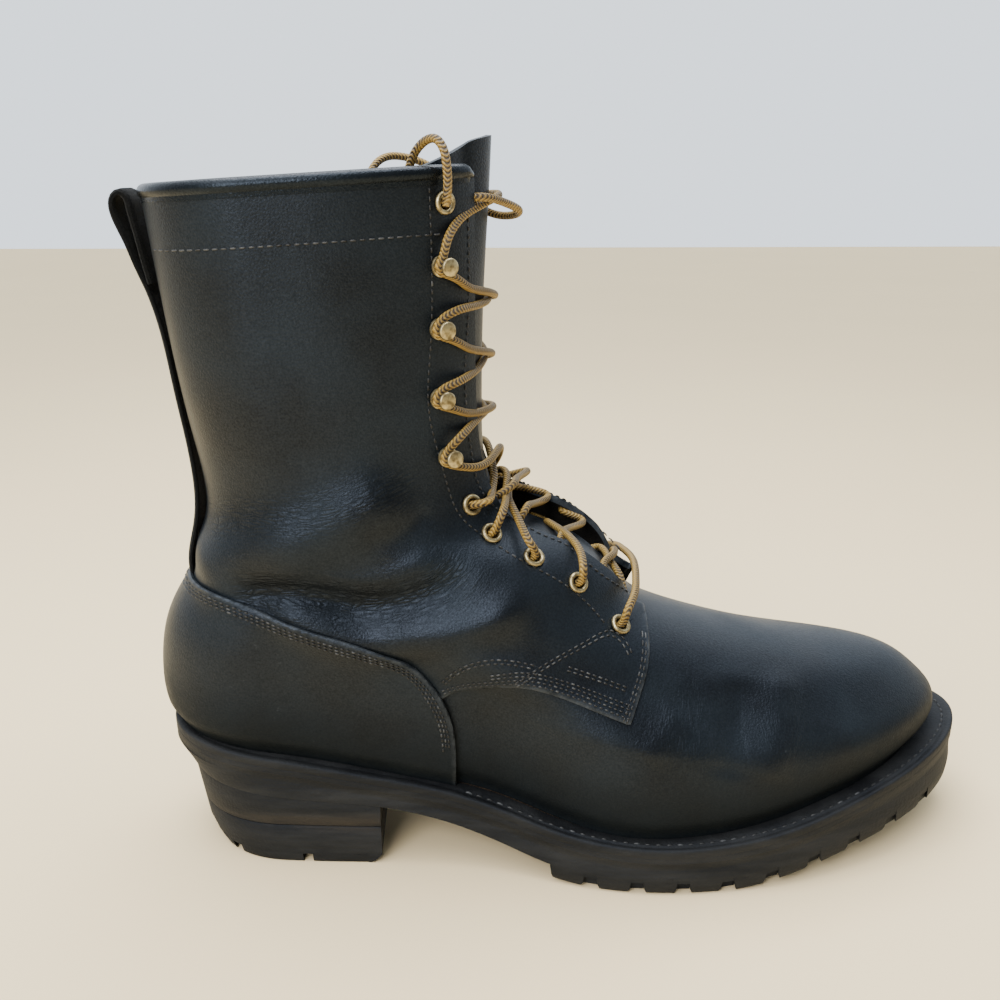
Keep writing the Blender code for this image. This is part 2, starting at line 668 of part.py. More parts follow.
def build_tongue():
    """Tall tongue that bulges between the facings and stands above the collar."""
    front = [tongue_row(*level) for level in TONGUE_LEVELS]
    root = front[0] + (front[0] - front[1]) * TONGUE_ROOT
    front.insert(0, root)
    front = np.array(front)
    along = np.gradient(front, axis=0)
    across = np.gradient(front, axis=1)
    normal = np.cross(across, along)
    normal /= np.linalg.norm(normal, axis=-1, keepdims=True)
    normal *= np.sign(normal[..., 0].sum())
    back = front - TONGUE_THICK * normal
    shell("tongue", list(front), list(back), 0, "black_leather")


def build_insole():
    """Footbed inside the welt and the upper."""
    tuck = WELT_TUCK + GAP + 0.7
    first = FEATHER.back_x + tuck
    last = FEATHER.front_x - tuck
    x_lines = layer_lines(first, last, 6, 8)

    def lines(x):
        half = feather_half(x, tuck)
        axis = float(sole_column("axis_y", x))
        return [axis - half, axis, axis + half]

    plate("insole", x_lines, lines, lambda x: welt_top(x) + 1.5, (lambda x: midsole_top(x) + GAP,),
          lambda i, j: 0, "footbed_leather")


def build_welt():
    """Strip around the upper, open in the middle where the footbed lies."""
    first = FEATHER.back_x + WELT_TUCK
    last = FEATHER.front_x - WELT_TUCK
    hole = layer_lines(first, last, 6, 8)
    x_lines = end_lines(HEEL_X, first, 4)[:-1] + hole + end_lines(TOE_X, last, 5)[::-1][1:]

    def lines(x):
        half = float(sole_half(x))
        inner = feather_half(x, WELT_TUCK) if first < x < last else 0.0
        axis = float(sole_column("axis_y", x))
        return [axis - half, axis - inner, axis + inner, axis + half]

    def kind(i, j):
        in_hole = x_lines[i] >= first - 0.01 and x_lines[i + 1] <= last + 0.01
        return None if j == 1 and in_hole else 0

    plate("welt", x_lines, lines, welt_top, (welt_under,), kind, "black_rubber")


def build_midsole():
    """Rubber layer under the welt, a little narrower to show its line at the side."""
    plate("midsole", layer_lines(HEEL_X, TOE_X, 8, 9), outline_lines(LAYER_SHARES), midsole_top,
          (midsole_under,), lambda i, j: 0, "black_rubber")


def build_outsole():
    """Waist and forefoot, with blocks of lugs from the front of the waist to the toe."""
    x_lines = heel_lines() + [105.0, 122.0, 140.0]
    lug_rows = set()
    for x in np.arange(LUG_START, TOE_X - 8.0, LUG_PITCH):
        lug_rows.add(len(x_lines))
        x_lines += [x, x + LUG_LENGTH]
    toe_block = len(x_lines) - 2
    x_lines = x_lines[:-1] + [TOE_X - 12.0, TOE_X - 4.0, TOE_X]

    def kind(i, j):
        return 1 if i >= toe_block or (i in lug_rows and j % 2 == 0) else 0

    plate("outsole", x_lines, outline_lines(LUG_SHARES), outsole_top, (outsole_under, lug_under), kind,
          "black_rubber", outsole_shape)


def heel_share(x):
    """Share of the heel's inset at x, from 1 at its back to 0 at its breast."""
    return max((HEEL_BREAST_X - x) / (HEEL_BREAST_X - HEEL_X), 0.0)


def outsole_shape(x, y, z):
    """Slope the outsole in under the back of the midsole, down to the top of the heel."""
    depth = (outsole_top(x) - z) / (outsole_top(x) - outsole_under(x))
    return x + HEEL_STEP * depth * heel_share(x), y, z


def heel_shape(x, y, z):
    """Set the back of the heel in, rake it forward and draw its sides in towards the floor."""
    drop = 1.0 - z / outsole_under(x)
    return x + (HEEL_STEP + HEEL_RAKE * drop) * heel_share(x), y * (1.0 - HEEL_TAPER * drop), z


def build_heel():
    """Stacked heel: a block under the sole and a notched wearing layer."""
    plate("heel_block", heel_lines(), outline_lines(LAYER_SHARES), lambda x: outsole_under(x) - GAP,
          (lambda x: LIFT_HEIGHT + GAP,), lambda i, j: 0, "black_rubber", heel_shape)

    first_notch, second_notch = HEEL_NOTCHES
    back_lines = end_lines(HEEL_X, first_notch[0], 6)
    lift_lines = back_lines + [first_notch[1], 34.0, *second_notch, 73.0, HEEL_BREAST_X]

    def kind(i, j):
        middle = 0.5 * (lift_lines[i] + lift_lines[i + 1])
        in_notch = any(start < middle < end for start, end in HEEL_NOTCHES)
        is_back_block = middle < first_notch[0]
        return 1 if is_back_block or (j % 2 == 0 and not in_notch) else 0

    plate("heel_lift", lift_lines, outline_lines(HEEL_SHARES), lambda x: LIFT_HEIGHT,
          (lambda x: HEEL_NOTCH_DEPTH, lambda x: 0.0), kind, "black_rubber", heel_shape)


def frame_at(station, side):
    """Seat of a piece of lace hardware: point on the quarter, outward, forward and up directions."""
    height, run = find_on_upper(station.x, station.z)
    point = upper_point(height, run, side)
    outward = upper_normal(height, run, side)
    point = point + outward * (WALL_QUARTER + HARDWARE_SEAT)
    ahead = upper_point(height, 1.0, side) - upper_point(height, max(run - 0.05, 0.0), side)
    ahead -= outward * np.dot(ahead, outward)
    ahead /= np.linalg.norm(ahead)
    up = np.cross(outward, ahead) * side * -1.0
    if up[2] < 0.0:
        up = -up
    return point, outward, ahead, up


def turned(name, seat, outward, ahead, profile, segments, ring_shape, material):
    """Piece turned about its seat's outward axis from a profile of (radius, height)."""
    side_dir = np.cross(outward, ahead)
    sections = []
    for k in range(segments):
        angle = 2.0 * math.pi * k / segments
        spoke = math.cos(angle) * ahead + math.sin(angle) * side_dir
        sections.append([seat + spoke * radius + outward * height for radius, height in profile])
    count = len(profile)
    points = [p for section in sections for p in section]
    faces = []
    for k in range(segments):
        after = (k + 1) % segments
        for j in range(count if ring_shape else count - 1):
            other = (j + 1) % count
            faces.append((k * count + j, k * count + other, after * count + other, after * count + j))
    return make_solid(name, points, faces, material, 40.0)


def build_hardware():
    """Eyelets and hooks, a pair at each lace station."""
    profiles = {"eyelet": EYELET_PROFILE, "hook": HOOK_PROFILE}
    for side_name, side in (("lateral", -1), ("medial", 1)):
        counts = {"eyelet": 0, "hook": 0}
        for station in LACE_STATIONS:
            counts[station.kind] += 1
            name = f"{station.kind}_{side_name}_{counts[station.kind]}"
            seat, outward, ahead, _ = frame_at(station, side)
            is_ring = station.kind == "eyelet"
            turned(name, seat, outward, ahead, profiles[station.kind], HARDWARE_SIDES, is_ring, "aged_brass")


def tube(name, path, radius, sides, material):
    """Solid round cord along a path."""
    sections = []
    normal = np.array((0.0, 0.0, 1.0))
    for i, point in enumerate(path):
        along = path[min(i + 1, len(path) - 1)] - path[max(i - 1, 0)]
        along = along / np.linalg.norm(along)
        normal = normal - along * np.dot(normal, along)
        normal /= np.linalg.norm(normal)
        other = np.cross(along, normal)
        angles = [2.0 * math.pi * k / sides for k in range(sides)]
        sections.append([point + radius * (math.cos(a) * normal + math.sin(a) * other) for a in angles])
    return sweep(name, sections, material, 80.0)


def lace_leaves(station, side):
    """Where a strand leaves its eyelet or hook, and where it passes over the facing's edge."""
    seat, outward, ahead, up = frame_at(station, side)
    if station.kind == "eyelet":
        start = seat + outward * (EYELET_THICK + LACE_RADIUS + LACE_CLEAR) + ahead * 1.5
    else:
        start = seat + outward * HOOK_LACE_HEIGHT + up * HOOK_LACE_REACH
    return start, facing_edge(station, side, 0.0)


def facing_edge(station, side, shift):
    """Point just above the facing's edge beside a station, moved along the edge by a shift."""
    height, _ = find_on_upper(station.x, station.z)
    height = min(max(height, THROAT_BASE + 7.0) + shift, COLLAR.back_z - 2.0)
    return upper_lifted(height, 1.0, side, WALL_QUARTER + LACE_RADIUS + LACE_CLEAR)


def lace_arrives(station, side):
    """Where a strand comes over the facing's edge towards its station, and where it ends."""
    seat, outward, _, up = frame_at(station, side)
    edge = facing_edge(station, side, -FACING_SHIFT)
    if station.kind == "eyelet":
        return edge, edge + (seat - edge) * 0.15 + outward * 0.8
    return edge, seat + outward * HOOK_LACE_HEIGHT - up * HOOK_LACE_REACH


def build_lace():
    """Crossings between neighbouring stations, and the two free ends."""
    for number in range(len(LACE_STATIONS) - 1):
        low, high = LACE_STATIONS[number], LACE_STATIONS[number + 1]
        edges = [facing_edge(station, side, 0.0) for station in (low, high) for side in (-1, 1)]
        middle = sum(edges) / 4.0
        height, _ = find_on_upper(0.5 * (low.x + high.x), 0.5 * (low.z + high.z))
        middle[0] += LACE_BULGE * float(ease((height - LACE_BULGE_START) / LACE_BULGE_LENGTH))
        middle[1] = 0.0
        strands = []
        for side in (-1, 1):
            leave, over = lace_leaves(low, side)
            edge, arrive = lace_arrives(high, -side)
            path = smooth_route([leave, over, middle, edge, arrive], LACE_STEP)
            name = f"lace_crossing_{number + 1}" if side < 0 else f"lace_under_{number + 1}"
            strands.append(tube(name, path, LACE_RADIUS, LACE_SIDES, "gold_lace"))
        boolean(strands[0], strands[1], "UNION")
    for side_name, route in LACE_END_ROUTES.items():
        path = smooth_route(route, LACE_END_STEP)
        curve = bpy.data.curves.new(f"lace_end_{side_name}", "CURVE")
        curve.dimensions = "3D"
        curve.bevel_depth = LACE_RADIUS * MM
        curve.bevel_resolution = 2
        curve.use_fill_caps = True
        line = curve.splines.new("POLY")
        line.points.add(len(path) - 1)
        for knot, point in zip(line.points, path):
            knot.co = (*(point * MM), 1.0)
        place(bpy.data.objects.new(f"lace_end_{side_name}", curve), "gold_lace")


def centre_on_floor():
    """Move the boot's empty so that the middle of its footprint lies at the origin."""
    bpy.context.view_layer.update()
    graph = bpy.context.evaluated_depsgraph_get()
    corners = []
    for obj in bpy.data.objects:
        if obj.type == "MESH" and not obj.hide_render:
            corners += [Vector(c) for c in obj.evaluated_get(graph).bound_box]
    low = [min(c[k] for c in corners) for k in range(3)]
    high = [max(c[k] for c in corners) for k in range(3)]
    bpy.data.objects["boot"].location = (-0.5 * (low[0] + high[0]), -0.5 * (low[1] + high[1]), -low[2])


def main():
    for obj in list(bpy.data.objects):
        bpy.data.objects.remove(obj, do_unlink=True)
    bpy.context.scene.collection.objects.link(bpy.data.objects.new("boot", None))
    build_upper()
    build_counter()
    build_binding()
    build_strap()
    build_tongue()
    build_insole()
    build_welt()
    build_midsole()
    build_outsole()
    build_heel()
    build_hardware()
    build_lace()
    centre_on_floor()


main()
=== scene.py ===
"""Looks of a black leather logger boot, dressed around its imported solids.

Sizes are millimetres in the boot's own frame: toe along +X, medial side along +Y, floor at Z = 0.
Meshes are written in metres in the frame of the solids. The upper's panels are cut from one
function of the height up the back seam and of the run from back to front, as the solids are.
"""
import logging
import math
from dataclasses import dataclass, field, replace
from enum import Enum
from typing import Callable, ClassVar, NamedTuple, Optional, Sequence, Union

import bpy
import numpy as np
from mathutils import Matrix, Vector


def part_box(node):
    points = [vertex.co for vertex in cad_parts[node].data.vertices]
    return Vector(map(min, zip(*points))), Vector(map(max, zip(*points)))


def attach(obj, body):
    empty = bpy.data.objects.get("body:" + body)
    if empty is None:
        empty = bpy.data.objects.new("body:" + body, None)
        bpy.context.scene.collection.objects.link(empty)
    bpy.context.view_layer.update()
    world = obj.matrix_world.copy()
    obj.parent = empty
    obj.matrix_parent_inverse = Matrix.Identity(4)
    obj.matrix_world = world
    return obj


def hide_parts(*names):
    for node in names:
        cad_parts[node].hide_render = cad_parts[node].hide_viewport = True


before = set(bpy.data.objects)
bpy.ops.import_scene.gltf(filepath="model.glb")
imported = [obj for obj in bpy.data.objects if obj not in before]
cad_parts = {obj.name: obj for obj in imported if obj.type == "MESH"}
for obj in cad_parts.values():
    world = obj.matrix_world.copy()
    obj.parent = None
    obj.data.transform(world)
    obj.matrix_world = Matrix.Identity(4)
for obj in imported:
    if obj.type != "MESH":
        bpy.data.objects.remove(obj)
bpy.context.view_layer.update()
LOG = logging.getLogger("boot")
MM = 0.001
HEEL_X = -1.6
TOE_X = 349.5
GAP = 0.3

Array = np.ndarray
Points = Sequence[Sequence[float]]
Pair = tuple[float, float]
Triple = tuple[float, float, float]
Line = tuple[Pair, ...]
Way = tuple[Triple, ...]
Faces = list[tuple[int, ...]]


class Side(Enum):
    """The two sides of a right boot, as the sign of y."""

    LATERAL = -1
    MEDIAL = 1

    @property
    def word(self) -> str:
        """Name of the side in nodes and pieces."""
        return self.name.lower()


class Slot(Enum):
    """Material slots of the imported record."""

    LEATHER = "black_leather"
    ROUGH = "rough_leather"
    FOOTBED = "footbed_leather"
    RUBBER = "black_rubber"
    BRASS = "aged_brass"
    LACE = "gold_lace"


class Wrap(Enum):
    """How the columns of a panel run over the last."""

    ONE_SIDE = "from the back seam to the front edge of one side"
    ROUND_BACK = "from one side round the heel to the other"
    ROUND_FRONT = "from one side round the toe to the other"


class HardwareKind(Enum):
    """Kinds of lace hardware."""

    EYELET = "eyelet"
    HOOK = "hook"


class LightKind(Enum):
    """Kinds of studio light."""

    SUN = "SUN"
    AREA = "AREA"


# Numbers and lines


def spline(knots: Sequence[float], values: Points, at: Array) -> Array:
    """Natural cubic spline, held flat beyond its ends.

    Args:
        knots: Rising places of the values.
        values: One or more columns of values.
        at: Places to read.

    Returns:
        The values there.
    """
    knots = np.asarray(knots, float)
    values = np.asarray(values, float)
    count = len(knots)
    step = np.diff(knots)
    matrix = np.eye(count)
    right = np.zeros_like(values)
    for i in range(1, count - 1):
        matrix[i, i - 1:i + 2] = step[i - 1], 2 * (step[i - 1] + step[i]), step[i]
        right[i] = 6 * ((values[i + 1] - values[i]) / step[i] - (values[i] - values[i - 1]) / step[i - 1])
    bend = np.linalg.solve(matrix, right.reshape(count, -1)).reshape(right.shape)
    at = np.clip(np.asarray(at, float), knots[0], knots[-1])
    i = np.clip(np.searchsorted(knots, at) - 1, 0, count - 2)
    widen = (...,) + (None,) * (values.ndim - 1)
    width = step[i][widen]
    low = ((knots[i + 1] - at) / step[i])[widen]
    high = ((at - knots[i]) / step[i])[widen]
    curve = ((low ** 3 - low) * bend[i] + (high ** 3 - high) * bend[i + 1]) * width ** 2 / 6
    return low * values[i] + high * values[i + 1] + curve


def ease(u: Array) -> Array:
    """Smooth step from 0 to 1 with no bend at its ends."""
    u = np.clip(u, 0, 1)
    return u ** 3 * (u * (6 * u - 15) + 10)


def round_end(distance: Array, length: Array, power: float = 2, keep: Array = 0) -> Array:
    """Share of the full width near a rounded end, of which the root of keep stays open."""
    inside = np.clip(1 - distance / length, 0, 1)
    return np.sqrt(np.clip(1 - (1 - keep) * inside ** power, 0, 1))


def end_dense(count: int) -> Array:
    """Shares from 0 to 1 that lie closer together towards both ends."""
    return 0.5 * (1 - np.cos(math.pi * np.linspace(0, 1, count)))


def full_turn(count: int) -> Array:
    """Even angles round a circle."""
    return 2 * math.pi * np.arange(count) / count


def unit(vectors: Array) -> Array:
    """Vectors scaled to length 1."""
    return vectors / np.maximum(np.linalg.norm(vectors, axis=-1, keepdims=True), 1e-12)


def run_along(points: Array) -> Array:
    """Length along a line at each of its points."""
    steps = np.linalg.norm(np.diff(points, axis=0), axis=1)
    return np.concatenate(([0], np.cumsum(steps)))


def smooth_route(points: Points, spacing: float) -> Array:
    """Even points along the smooth curve through a route.

    Args:
        points: The route's own points.
        spacing: Distance between the points read from the curve.

    Returns:
        Points of the curve.
    """
    points = np.asarray(points, float)
    run = run_along(points)
    fine = spline(run, points, np.linspace(0, run[-1], 12 * len(points)))
    length = run_along(fine)
    count = max(2, int(round(length[-1] / spacing)) + 1)
    even = np.linspace(0, length[-1], count)
    return np.stack([np.interp(even, length, fine[:, k]) for k in range(points.shape[1])], axis=-1)


def side_view(points: Array) -> Array:
    """The x and z of points."""
    return points[:, (0, 2)]


def offset_line(line: Array, distance: float) -> Array:
    """Side-view line moved to its left by a distance."""
    along = unit(np.gradient(line, axis=0))
    return line + distance * np.stack([-along[:, 1], along[:, 0]], axis=-1)


def nearest_on(line: Array, points: Array) -> tuple[Array, Array]:
    """Distance from points to a line and the share of its length at the nearest place.

    Args:
        line: Points of the line.
        points: Points to measure from.

    Returns:
        Distances, and shares from 0 to 1.
    """
    starts, steps = line[:-1], np.diff(line, axis=0)
    lengths = np.maximum(np.linalg.norm(steps, axis=1), 1e-9)
    before = np.concatenate(([0], np.cumsum(lengths)))
    best = np.full(len(points), np.inf)
    share = np.zeros(len(points))
    for start, step, length, run in zip(starts, steps, lengths, before):
        t = np.clip((points - start) @ step / length ** 2, 0, 1)
        gap = np.linalg.norm(points - start - t[:, None] * step, axis=1)
        closer = gap < best
        best[closer] = gap[closer]
        share[closer] = (run + t[closer] * length) / before[-1]
    return best, share


@dataclass(frozen=True)
class Region:
    """Area of the side view inside a closed outline."""

    outline: Array

    def distance(self, points: Array) -> Array:
        """Distance to the outline, positive inside.

        Args:
            points: Side-view points.

        Returns:
            Signed distances.
        """
        loop = np.vstack([self.outline, self.outline[:1]])
        far, _ = nearest_on(loop, points)
        inside = np.zeros(len(points), bool)
        for (ax, az), (bx, bz) in zip(loop[:-1], loop[1:]):
            crosses = (az > points[:, 1]) != (bz > points[:, 1])
            if az != bz:
                inside ^= crosses & (points[:, 0] < ax + (points[:, 1] - az) * (bx - ax) / (bz - az))
        return np.where(inside, far, -far)


# The last


class Level(NamedTuple):
    """A ring of the upper.

    Height and place at the back, place at the front, half widths at four run stations, length of
    the front rounding, share of the sole's dip and half gap at the throat.
    """

    back_z: float
    back_x: float
    front_x: float
    front_z: float
    heel: float
    waist: float
    ball: float
    toe: float
    front_round: float
    dip: float
    gap: float


class Station(NamedTuple):
    """A station of the sole: half width, foot's axis, top of the welt and underside."""

    x: float
    half_width: float
    axis_y: float
    top_z: float
    under_z: float


@dataclass(frozen=True)
class Last:
    """Form that the upper is drawn over, and the sole's outline below it."""

    levels: tuple[Level, ...] = tuple(Level(*row) for row in (
        (56, 2.5, 334, 43, 34.5, 36.5, 57, 52.5, 90, 1.0, 0),
        (70, -0.8, 338, 57, 37.2, 39, 59.5, 55, 92, 0.8, 0),
        (78, -1, 329.5, 68, 37.6, 39.5, 59, 55, 108, 0.55, 0),
        (84, -0.6, 313, 79, 37.8, 40, 57, 56, 186, 0.32, 0),
        (90, 0.2, 283, 84.8, 38, 40.5, 54, 56, 188, 0.16, 0),
        (99, 2.4, 245, 92.2, 38, 41, 49, 50, 125, 0.06, 0),
        (107.5, 6.2, 206, 104, 37.5, 41, 45, 46, 70, 0.0, 0),
        (115.5, 11, 190, 118, 37, 40.5, 43.5, 43.5, 62, 0.0, 14.5),
        (126.5, 16.2, 170, 133.5, 36.5, 40, 42, 42, 60, 0.0, 17.5),
        (139, 20, 150, 141.5, 36.5, 39.5, 40.5, 40.5, 60, 0.0, 18),
        (155, 21.2, 137, 157, 37.5, 39.5, 40, 40, 60, 0.0, 18.3),
        (181, 17.5, 131, 183, 40, 41.5, 41.5, 41.5, 60, 0.0, 18.5),
        (229, 10.8, 130, 234, 43, 44.5, 44.5, 44.5, 60, 0.0, 18.7),
        (271.5, 6.2, 130, 279, 45, 46.5, 46.5, 46.5, 60, 0.0, 19)))
    stations: tuple[Station, ...] = tuple(Station(*row) for row in (
        (-1.6, 39.5, 0, 56, 36),
        (30, 40.5, 0, 52, 33.5),
        (60, 42.5, -0.3, 47.5, 31),
        (90, 43.3, -1.2, 42, 28.5),
        (115, 43.8, -2.5, 37, 23),
        (140, 47.3, -4.2, 30.5, 15),
        (160, 53.5, -5, 25, 9),
        (185, 60.5, -5.5, 21.6, 7),
        (210, 63.6, -5.2, 20.8, 7),
        (235, 63.4, -4, 22.2, 7),
        (260, 62, -2, 26.2, 11),
        (285, 59.8, 0.5, 31.7, 16),
        (310, 58.4, 3, 37.6, 21),
        (349.5, 56.8, 7, 46.5, 27.5)))
    run_stations: tuple[float, ...] = (0.12, 0.36, 0.62, 0.86)
    throat_base: float = 107.5
    back_round: float = 44
    heel_round: float = 46
    toe_round: float = 110
    end_power: float = 2.2
    axis_fade_start: float = 95
    axis_fade_length: float = 60

    @property
    def feather(self) -> Level:
        """Ring at the welt."""
        return self.levels[0]

    @property
    def collar(self) -> Level:
        """Ring at the top."""
        return self.levels[-1]

    def sole(self, column: str, x: Array) -> Array:
        """One column of the sole's table at x."""
        return spline([row.x for row in self.stations], [getattr(row, column) for row in self.stations], x)

    def sole_half(self, x: Array) -> Array:
        """Half width of the sole's outline at x, from its axis."""
        x = np.asarray(x, float)
        heel = round_end(x - HEEL_X, self.heel_round, self.end_power)
        return self.sole("half_width", x) * heel * round_end(TOE_X - x, self.toe_round, self.end_power)

    def level(self, height: Array) -> Array:
        """All columns of the ring table at a height up the back seam."""
        knots = [row.back_z for row in self.levels]
        return np.moveaxis(spline(knots, self.levels, height), -1, 0)

    def run_at(self, height: Array, x: Array) -> Array:
        """Run of the place at x on the ring at a height."""
        _, back_x, front_x = self.level(height)[:3]
        return np.clip((x - back_x) / (front_x - back_x), 0, 1)

    def point(self, height: Array, run: Array, side: Array, closed: bool = False) -> Array:
        """Points of the middle surface.

        Args:
            height: Heights up the back seam.
            run: Shares from the back, 0, to the front, 1.
            side: -1 for lateral and 1 for medial.
            closed: Whether the surface has no throat gap.

        Returns:
            Points, with x, y and z last.
        """
        height, run = np.broadcast_arrays(np.asarray(height, float), np.asarray(run, float))
        back_z, back_x, front_x, front_z, heel, waist, ball, toe, front_round, dip, gap = self.level(height)
        feather = self.feather
        length = front_x - back_x
        x = back_x + length * run
        slope = (feather.front_z - feather.back_z) / (feather.front_x - feather.back_x)
        chord = feather.back_z + slope * (x - feather.back_x)
        z = back_z + (front_z - back_z) * run + dip * (self.sole("top_z", x) - chord)
        half = heel
        widths = (heel, waist, ball, toe)
        for k in range(len(self.run_stations) - 1):
            share = (run - self.run_stations[k]) / (self.run_stations[k + 1] - self.run_stations[k])
            half = half + (widths[k + 1] - widths[k]) * ease(share)
        is_open = (height > self.throat_base) & (not closed)
        keep = np.where(is_open, np.clip(gap, 0, None) / half, 0) ** 2
        half = half * round_end(length * run, self.back_round, self.end_power)
        half = half * round_end(length * (1 - run), front_round, 2, keep)
        fade = 1 - ease((height - self.axis_fade_start) / self.axis_fade_length)
        return np.stack([x, self.sole("axis_y", x) * fade + side * half, z], axis=-1)

    def normal(self, height: Array, run: Array, side: Array, closed: bool = False) -> Array:
        """Outward normals of the middle surface.

        Args:
            height: Heights up the back seam.
            run: Shares from the back, 0, to the front, 1.
            side: -1 for lateral and 1 for medial.
            closed: Whether the surface has no throat gap.

        Returns:
            Unit normals.
        """
        height, run = np.broadcast_arrays(np.asarray(height, float), np.asarray(run, float))
        high = np.minimum(height + 0.1, self.collar.back_z)
        low = np.maximum(height - 0.1, self.feather.back_z)
        up = self.point(high, run, side, closed) - self.point(low, run, side, closed)
        ahead = self.point(height, np.minimum(run + 0.001, 1), side, closed)
        behind = self.point(height, np.maximum(run - 0.001, 0), side, closed)
        return unit(np.cross(ahead - behind, up) * -np.asarray(side)[..., None])

    def lifted(self, height: Array, run: Array, side: Array, lift: Array, closed: bool = False) -> Array:
        """Points at a distance outside the middle surface, with the arguments of point()."""
        lift = np.asarray(lift, float)[..., None]
        return self.point(height, run, side, closed) + lift * self.normal(height, run, side, closed)

    def find(self, x: Array, z: Array) -> tuple[Array, Array]:
        """Heights and runs of places given in side view.

        Args:
            x: Side-view x.
            z: Side-view z.

        Returns:
            Heights and runs on the middle surface.
        """
        x, z = np.asarray(x, float), np.asarray(z, float)
        low = np.full(x.shape, self.feather.back_z)
        high = np.full(x.shape, self.collar.back_z)
        for _ in range(40):
            height = 0.5 * (low + high)
            run = self.run_at(height, x)
            below = self.point(height, run, 1)[..., 2] < z
            low = np.where(below, height, low)
            high = np.where(below, high, height)
        return height, run

    def ring(self, height: float, count: int, lift: float) -> Array:
        """Ring round the back, from the lateral front to the medial front.

        Args:
            height: Its height.
            count: Points on a side.
            lift: Distance off the middle surface.

        Returns:
            The points.
        """
        runs = end_dense(count)
        lateral = self.lifted(height, runs, np.full(count, -1), np.full(count, lift))[::-1]
        medial = self.lifted(height, runs, np.full(count, 1), np.full(count, lift))[1:]
        return np.concatenate([lateral, medial])


LAST = Last()
SHIFT = np.array((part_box("outsole")[0].x / MM - HEEL_X,
                  0.5 * sum(corner.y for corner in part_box("back_strap")) / MM, 0))


def to_frame(points: Points) -> Array:
    """Points of the boot, in millimetres, as metres in the frame of the solids."""
    return (np.asarray(points, float) + SHIFT) * MM


# Meshes


@dataclass
class Shape:
    """Points in millimetres and faces of one closed mesh, with values for its points."""

    points: Array
    faces: Faces
    values: dict[str, Array] = field(default_factory=dict)
    around: Optional[Array] = None
    lining_from: Optional[int] = None

    def joined(self, other: "Shape") -> "Shape":
        """Join another shape to this one.

        Args:
            other: The other shape.

        Returns:
            Both as one mesh.
        """
        shift = len(self.points)
        faces = self.faces + [tuple(i + shift for i in face) for face in other.faces]
        values = {name: np.concatenate([mine, other.values[name]]) for name, mine in self.values.items()}
        return Shape(np.vstack([self.points, other.points]), faces, values)

    def volume(self) -> float:
        """Signed volume, positive where the faces point out."""
        corners = [(f[0], f[k], f[k + 1]) for f in self.faces for k in range(1, len(f) - 1)]
        a, b, c = (self.points[list(ids)] for ids in zip(*corners))
        return float(np.einsum("ij,ij->i", a, np.cross(b, c)).sum())


def placed(name: str, data: bpy.types.ID) -> bpy.types.Object:
    """Object of some data in the scene."""
    obj = bpy.data.objects.new(name, data)
    bpy.context.scene.collection.objects.link(obj)
    return obj


def piece(name: str, shape: Shape, finish: "Finish", nodes: Sequence[str] = (),
          sharp: float = 40) -> bpy.types.Object:
    """Make a piece of the boot that rides on its one body.

    Args:
        name: Name of the piece.
        shape: Its mesh, with the lining's finish where it has a lining.
        finish: Its finish, with the record's material slot.
        nodes: Solids that it stands for.
        sharp: Angle in degrees from which an edge is drawn sharp.

    Returns:
        The object.
    """
    faces = shape.faces
    if shape.volume() < 0:
        faces = [face[::-1] for face in faces]
    mesh = bpy.data.meshes.new(name)
    mesh.from_pydata(to_frame(shape.points).tolist(), [], faces)
    for value_name, values in shape.values.items():
        kind, key = ("FLOAT", "value") if values.ndim == 1 else ("FLOAT_VECTOR", "vector")
        layer = mesh.attributes.new(value_name, kind, "POINT")
        layer.data.foreach_set(key, values.astype(np.float32).ravel())
    if shape.around is not None:
        corner = np.zeros(len(mesh.loops), np.int32)
        mesh.loops.foreach_get("vertex_index", corner)
        layer = mesh.uv_layers.new(name="around")
        layer.data.foreach_set("uv", shape.around[corner].astype(np.float32).ravel())
    mesh.materials.append(finish.material())
    if shape.lining_from is not None:
        mesh.materials.append(LINING.material())
        index = np.zeros(len(faces), np.int32)
        index[shape.lining_from:] = 1
        mesh.polygons.foreach_set("material_index", index)
    mesh.validate()
    mesh.shade_smooth()
    mesh.set_sharp_from_angle(angle=math.radians(sharp))
    obj = placed(name, mesh)
    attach(obj, "root")
    if nodes:
        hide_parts(*nodes)
    LOG.info("%s: %d points, stands for %s", name, len(mesh.vertices), ", ".join(nodes) or "no solid")
    return obj


def grid_faces(rows: int, columns: int, close_rows: bool = False, close_columns: bool = False) -> Faces:
    """Quads of a grid of points, row by row.

    Args:
        rows: Number of rows.
        columns: Number of columns.
        close_rows: Whether the last row joins the first.
        close_columns: Whether the last column joins the first.

    Returns:
        Faces as tuples of point numbers.
    """
    faces = []
    for i in range(rows if close_rows else rows - 1):
        below = (i + 1) % rows
        for j in range(columns if close_columns else columns - 1):
            after = (j + 1) % columns
            faces.append((i * columns + j, i * columns + after,
                          below * columns + after, below * columns + j))
    return faces


def sheet_faces(faces: Faces, count: int) -> tuple[Faces, int]:
    """Faces of a closed sheet between two layers of points.

    Args:
        faces: Faces of the outer layer.
        count: Number of points in a layer.

    Returns:
        All faces, and the number of the first one of the inner layer.
    """
    edges = dict.fromkeys((a, b) for face in faces for a, b in zip(face, face[1:] + face[:1]))
    rim = [(b, a, a + count, b + count) for a, b in edges if (b, a) not in edges]
    inner = [tuple(i + count for i in face[::-1]) for face in faces]
    return faces + rim + inner, len(faces) + len(rim)


